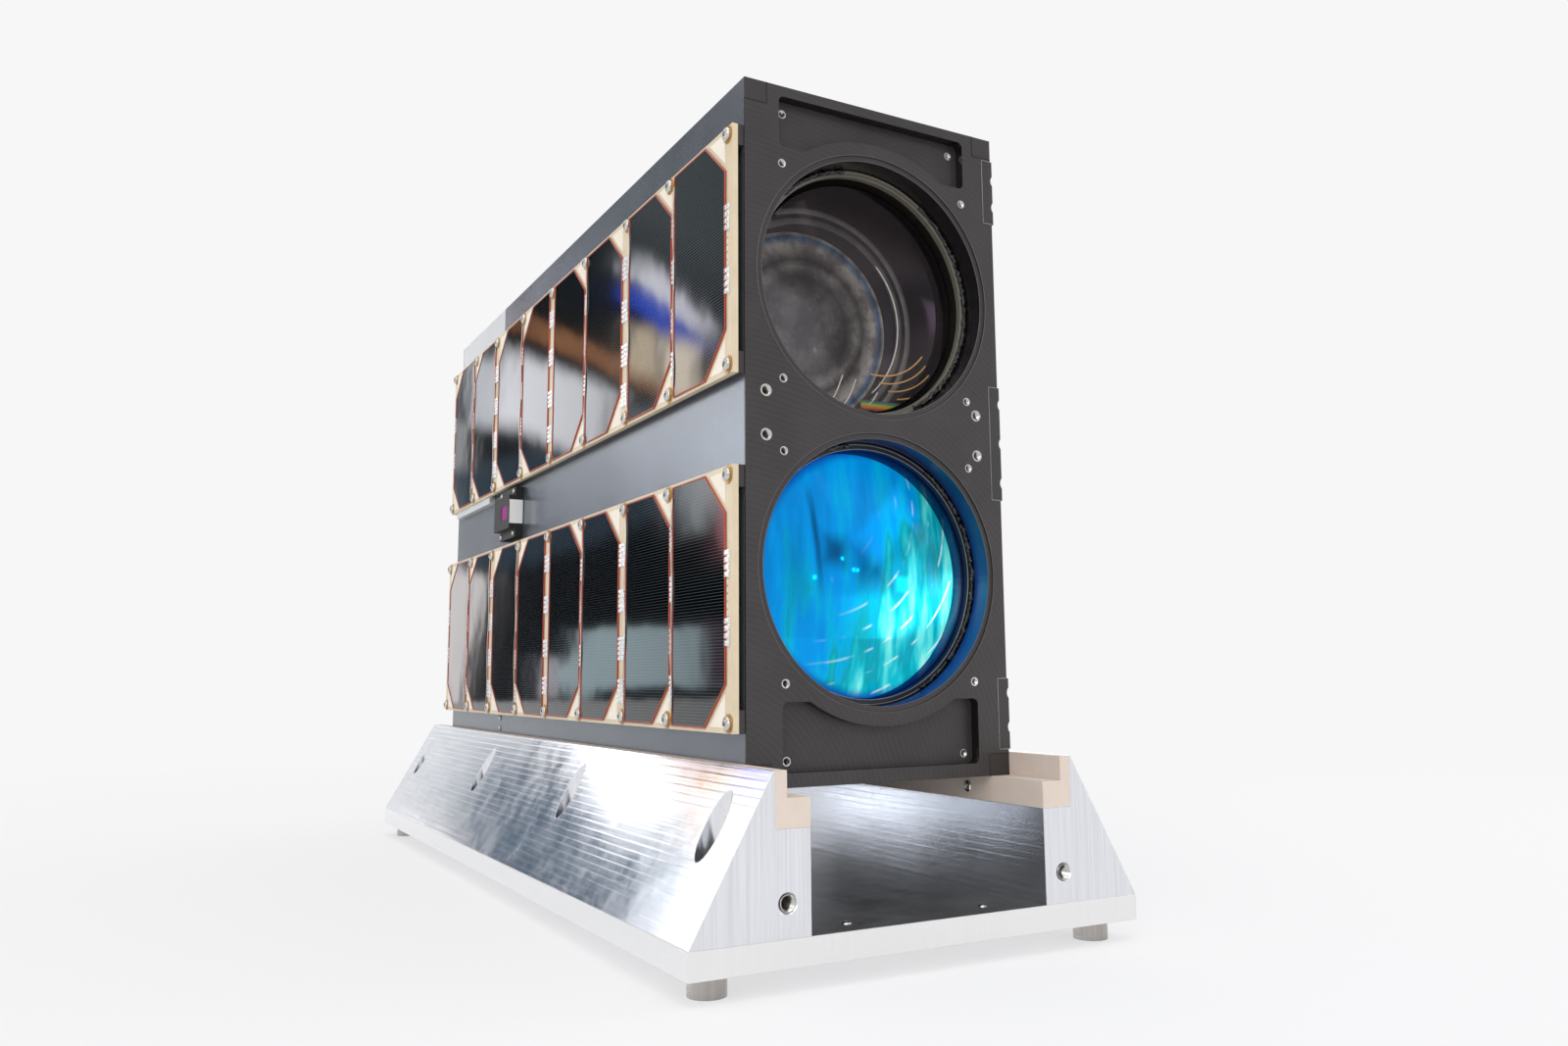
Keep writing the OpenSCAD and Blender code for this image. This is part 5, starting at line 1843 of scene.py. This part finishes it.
@dataclass
class Studio:
    """A white sweep with soft light, and the camera."""

    camera_at: Point = (-213.7, -505.2, 86.0)
    heading: float = 29.3
    pitch: float = 7.85
    roll: float = 0.48
    lens: float = 27.22
    shift: Pair = (-0.0064, -0.0062)
    white: str = "#f7f7f8"
    floor_white: str = "#f0f0f1"
    floor_size: float = 8000.0
    fade_near: float = 250.0
    fade_far: float = 900.0
    fade_least: float = 0.6
    aim: Point = (0.0, 0.0, 140.0)
    level: float = 0.8
    waver: float = 0.016
    room: tuple[RoomShape, ...] = (
        # A dark doorway behind, with pale and blue-grey fields at its sides and foot
        RoomShape(Half.BEHIND, (-0.43, 0.16), (0.215, 0.46), "#08090a", soft=0.12),
        RoomShape(Half.BEHIND, (-0.195, 0.14), (0.048, 0.075), "#f2f3f6", soft=0.1),
        RoomShape(Half.BEHIND, (-0.335, 0.163), (0.105, 0.046), "#7088a0", 0.55, -21.0, 0.2),
        RoomShape(Half.BEHIND, (-0.492, 0.215), (0.068, 0.05), "#e6edf4", 2.4, -23.0, 0.45),
        RoomShape(Half.BEHIND, (-0.58, 0.22), (0.06, 0.12), "#f4f6fa", 7.0, soft=0.2),
        RoomShape(Half.BEHIND, (-0.76, 0.15), (0.1, 0.09), "#f4f6fa", 5.0, soft=0.5),
        RoomShape(Half.BEHIND, (0.76, 0.15), (0.14, 0.09), "#f4f6fa", 5.0, soft=0.5),
        # A bench with things on it, seen in the upper panel
        RoomShape(Half.BEHIND, (-0.48, 0.47), (0.08, 0.1), "#8e979c", turn=30.0, soft=0.5),
        RoomShape(Half.BEHIND, (-0.318, 0.24), (0.055, 0.034), "#dcdde2", 3.8, 18.0, 0.3),
        RoomShape(Half.BEHIND, (-0.255, 0.245), (0.012, 0.03), "#c9ccd2", 3.0),
        RoomShape(Half.BEHIND, (-0.36, 0.286), (0.08, 0.009), "#b07850", 2.2, 20.8, 0.5),
        RoomShape(Half.BEHIND, (-0.43, 0.352), (0.045, 0.013), "#e6e6f0", 4.5, 42.0, 0.5),
        RoomShape(Half.BEHIND, (-0.425, 0.331), (0.044, 0.011), "#2a50d8", 3.4, 35.0),
        RoomShape(Half.BEHIND, (-0.402, 0.298), (0.012, 0.024), "#f0dcc0", 3.4, soft=0.5),
        RoomShape(Half.BEHIND, (-0.442, 0.285), (0.018, 0.028), "#f4e6d4", 4.5, soft=0.5),
        # A low wall and small pale things, seen in the lower panel
        RoomShape(Half.BEHIND, (-0.425, 0.018), (0.083, 0.026), "#a9bcc2", 3.4, soft=0.12),
        RoomShape(Half.BEHIND, (-0.35, 0.006), (0.02, 0.02), "#a9bcc2", 3.2, -50.0, 0.2),
        RoomShape(Half.BEHIND, (-0.318, 0.002), (0.008, 0.018), "#d2d0da", 2.4, soft=0.3),
        RoomShape(Half.BEHIND, (-0.234, 0.03), (0.018, 0.06), "#e2dcdc", 2.8, 10.0, 0.1),
        RoomShape(Half.BEHIND, (-0.483, 0.02), (0.02, 0.03), "#5b4652", 2.0, soft=0.3),
        RoomShape(Half.BEHIND, (-0.489, 0.15), (0.006, 0.04), "#f09aa4", 4.0, soft=0.3),
        RoomShape(Half.BEHIND, (-0.458, 0.152), (0.006, 0.018), "#c9d0d4", 3.0, soft=0.5),
        # The bright room ahead, with soft darker things that the lower lens shows
        RoomShape(Half.AHEAD, (0.15, 0.5), (0.35, 0.7), "#e2e6e8", soft=0.5),
        RoomShape(Half.AHEAD, (1.05, 1.2), (0.95, 0.42), "#4a4648", soft=0.6),
        RoomShape(Half.AHEAD, (0.46, 0.1), (0.02, 0.07), "#c4cacf", 1.0, 4.0, 0.9),
        RoomShape(Half.AHEAD, (1.25, 0.52), (0.5, 0.16), "#8c9298", 1.0, 25.0, 0.6),
        RoomShape(Half.AHEAD, (0.635, 0.125), (0.026, 0.034), "#6d7981", 1.0, 14.0, 0.95),
        RoomShape(Half.AHEAD, (0.555, 0.14), (0.026, 0.024), "#7b878f", 1.0, -6.0, 0.95),
        RoomShape(Half.AHEAD, (0.51, 0.16), (0.006, 0.08), "#7f949a", 1.0, 3.0, 0.7),
        RoomShape(Half.AHEAD, (0.7, 0.2), (0.09, 0.035), "#f8fbff", 1.18, 38.0, 0.5),
        RoomShape(Half.AHEAD, (0.76, 0.105), (0.05, 0.03), "#f0fbff", 1.25, 20.0, 0.9),
        RoomShape(Half.AHEAD, (1.49, 0.48), (0.16, 0.1), "#e6ccf0", 3.4, 12.0, 0.5),
        RoomShape(Half.AHEAD, (2.04, 0.61), (0.07, 0.16), "#f4eef6", 9.0, 12.0, 0.3),
        RoomShape(Half.AHEAD, (0.34, 0.75), (0.035, 0.2), "#ffffff", 1.2),
        RoomShape(Half.AHEAD, (0.8, 0.045), (0.15, 0.035), "#ffffff", 2.2, 12.0, 0.9),
        RoomShape(Half.AHEAD, (0.735, 0.085), (0.022, 0.016), "#ffffff", 2.6, soft=0.35),
        RoomShape(Half.AHEAD, (1.75, 0.1), (0.3, 0.12), "#ffffff", 4.0, soft=0.6),
        RoomShape(Half.AHEAD, (0.6, 0.105), (0.0022, 0.0024), "#ffffff", 8.0, soft=0.9),
        RoomShape(Half.AHEAD, (0.61, 0.104), (0.0018, 0.002), "#ffffff", 8.0, soft=0.9),
        RoomShape(Half.AHEAD, (0.5, 0.088), (0.0022, 0.0026), "#ffffff", 8.0, soft=0.9),
        RoomShape(Half.AHEAD, (0.57, 0.128), (0.002, 0.002), "#e8ffe8", 8.0, soft=0.9),
        RoomShape(Half.AHEAD, (0.3, 0.04), (0.008, 0.01), "#ffffff", 8.0, soft=0.9),
    )
    lamps: tuple[tuple[str, Point, float, float], ...] = (
        ("overhead_softbox", (-200.0, -300.0, 1500.0), 1400.0, 7.0),
        ("front_softbox", (-1100.0, -1300.0, 800.0), 900.0, 6.0),
        ("side_softbox", (1300.0, -300.0, 700.0), 900.0, 4.0),
    )

    def build_camera(self) -> Object:
        """Makes the camera at its three-quarter view from low on the left.

        Returns:
            The camera.
        """
        data = bpy.data.cameras.new("camera")
        data.lens, data.sensor_width = self.lens, 36.0
        data.shift_x, data.shift_y = self.shift
        data.clip_start, data.clip_end = 0.01, 50.0
        made = bpy.data.objects.new("camera", data)
        bpy.context.scene.collection.objects.link(made)
        made.location = Vector(self.camera_at) * MM
        turn = Euler((math.radians(90 + self.pitch), 0.0, math.radians(-self.heading))).to_matrix()
        made.rotation_euler = (turn @ Euler((0.0, 0.0, math.radians(-self.roll))).to_matrix()).to_euler()
        bpy.context.scene.camera = made
        return made

    def build_floor(self) -> Object:
        """Makes the white floor, which keeps the object's shadow and fades into the backdrop.

        Returns:
            The floor.
        """
        half = self.floor_size / 2
        corners = [(-half, -half, 0.0), (half, -half, 0.0), (half, half, 0.0), (-half, half, 0.0)]
        made = make_mesh("studio_floor", corners, [(0, 1, 2, 3)])
        paint = bpy.data.materials.new("white_sweep")
        paint.use_nodes = True
        tree = paint.node_tree
        shader = tree.nodes["Principled BSDF"]
        feed(tree, shader, {
            "Base Color": srgb(self.floor_white), "Roughness": 0.9, "Specular IOR Level": 0.0,
        })
        glow = add(tree, "ShaderNodeEmission", {"Color": srgb(self.white), "Strength": 1.0})
        rays = add(tree, "ShaderNodeLightPath")
        place = add(tree, "ShaderNodeTexCoord")
        away = add(tree, "ShaderNodeVectorMath", {0: place.outputs["Object"]}, operation="LENGTH")
        fade = add(tree, "ShaderNodeMapRange", {
            "Value": away.outputs["Value"], "From Min": self.fade_near * MM, "From Max": self.fade_far * MM,
            "To Min": self.fade_least,
        })
        seen = add(tree, "ShaderNodeMath", {
            0: rays.outputs["Is Camera Ray"], 1: rays.outputs["Is Glossy Ray"],
        }, operation="MAXIMUM")
        direct = add(tree, "ShaderNodeMath", {0: seen, 1: rays.outputs["Is Transmission Ray"]},
                     operation="MAXIMUM")
        share = add(tree, "ShaderNodeMath", {0: fade, 1: direct}, operation="MULTIPLY")
        both = add(tree, "ShaderNodeMixShader", {0: share, 1: shader, 2: glow})
        tree.links.new(both.outputs[0], tree.nodes["Material Output"].inputs["Surface"])
        made.data.materials.append(paint)
        return made

    def build_world(self) -> None:
        """Makes the backdrop white, and gives gloss a bright room with dim corners to reflect."""
        world = bpy.data.worlds.new("studio")
        bpy.context.scene.world = world
        world.use_nodes = True
        tree = world.node_tree
        tree.nodes.clear()
        rays = add(tree, "ShaderNodeLightPath")
        direction = add(tree, "ShaderNodeTexCoord").outputs["Generated"]
        parts = add(tree, "ShaderNodeSeparateXYZ", {0: direction})
        depth = add(tree, "ShaderNodeMath", {0: parts.outputs["Y"]}, operation="ABSOLUTE")
        side = add(tree, "ShaderNodeMath", {0: parts.outputs["X"], 1: depth}, operation="DIVIDE")
        rise = add(tree, "ShaderNodeMath", {0: parts.outputs["Z"], 1: depth}, operation="DIVIDE")
        half = add(tree, "ShaderNodeMath", {0: parts.outputs["Y"]}, operation="SIGN")
        flat = add(tree, "ShaderNodeCombineXYZ", {0: side, 1: rise, 2: half})
        waver = add(tree, "ShaderNodeTexNoise", {"Vector": flat, "Scale": 9.0, "Detail": 2.0})
        pushed = add(tree, "ShaderNodeVectorMath", {0: waver.outputs["Color"], 1: (0.5, 0.5, 0.5)},
                     operation="SUBTRACT")
        vector = add(tree, "ShaderNodeVectorMath", {
            0: pushed, 1: (self.waver, self.waver, 0.0), 2: flat,
        }, operation="MULTIPLY_ADD")
        seen = add(tree, "ShaderNodeRGB")
        seen.outputs[0].default_value = srgb(self.white)
        room = seen.outputs[0]
        for shape in self.room:
            room = shape.paint(tree, vector.outputs[0], room)
        glossy = add(tree, "ShaderNodeBackground", {"Color": room, "Strength": 1.0})
        plain = add(tree, "ShaderNodeBackground", {"Color": srgb(self.white), "Strength": 1.0})
        fill = add(tree, "ShaderNodeBackground", {"Color": srgb(self.white), "Strength": self.level})
        lit_by = add(tree, "ShaderNodeMixShader", {0: rays.outputs["Is Glossy Ray"], 1: fill, 2: glossy})
        clear = add(tree, "ShaderNodeMath", {
            0: rays.outputs["Is Camera Ray"], 1: rays.outputs["Is Transmission Ray"],
        }, operation="MAXIMUM")
        shown = add(tree, "ShaderNodeMixShader", {0: clear, 1: lit_by, 2: plain})
        add(tree, "ShaderNodeOutputWorld", {"Surface": shown})

    def build_lamps(self) -> None:
        """Hangs the softboxes, which face the object."""
        for name, place, size, power in self.lamps:
            data = bpy.data.lights.new(name, "AREA")
            data.size, data.energy = size * MM, power
            made = bpy.data.objects.new(name, data)
            bpy.context.scene.collection.objects.link(made)
            made.location = Vector(place) * MM
            towards = Vector(self.aim) * MM - made.location
            made.rotation_euler = towards.to_track_quat("-Z", "Y").to_euler()

    def build(self) -> None:
        """Sets up the view, floor, backdrop and lamps."""
        scene = bpy.context.scene
        scene.view_settings.view_transform = "Standard"
        self.build_camera()
        self.build_floor()
        self.build_world()
        self.build_lamps()


def main() -> None:
    """Builds the studio and each sub-assembly in order."""
    logging.basicConfig(level=logging.INFO, format="%(name)s: %(message)s")
    Studio().build()
    log.info("studio ready")
    body = Body()
    body.dress()
    pieces = [*body.build_inserts(), *body.build_front_lines(), body.build_skin_screws(),
              body.build_cover_screws()]
    for level, glass in ((Level.UPPER, CLEAR_GLASS), (Level.LOWER, BLUE_MIRROR)):
        lens = Lens(level, glass)
        lens.dress()
        pieces += [lens.build_glass(), lens.build_inner_glass(), lens.build_bead(),
                   *lens.build_rim_lines(box_mm("front_plate")[0].y)]
        if level is Level.UPPER:
            pieces += lens.build_glints()
    for level in Level:
        panel = SolarPanel(level)
        panel.dress()
        pieces += panel.build()
    for part in (SunSensor(), RearFittings(), Cradle()):
        part.dress()
        pieces += part.build()
    for made in pieces:
        log.info("%s: %d faces", made.name, len(made.data.polygons))


if __name__ == "__main__":
    main()
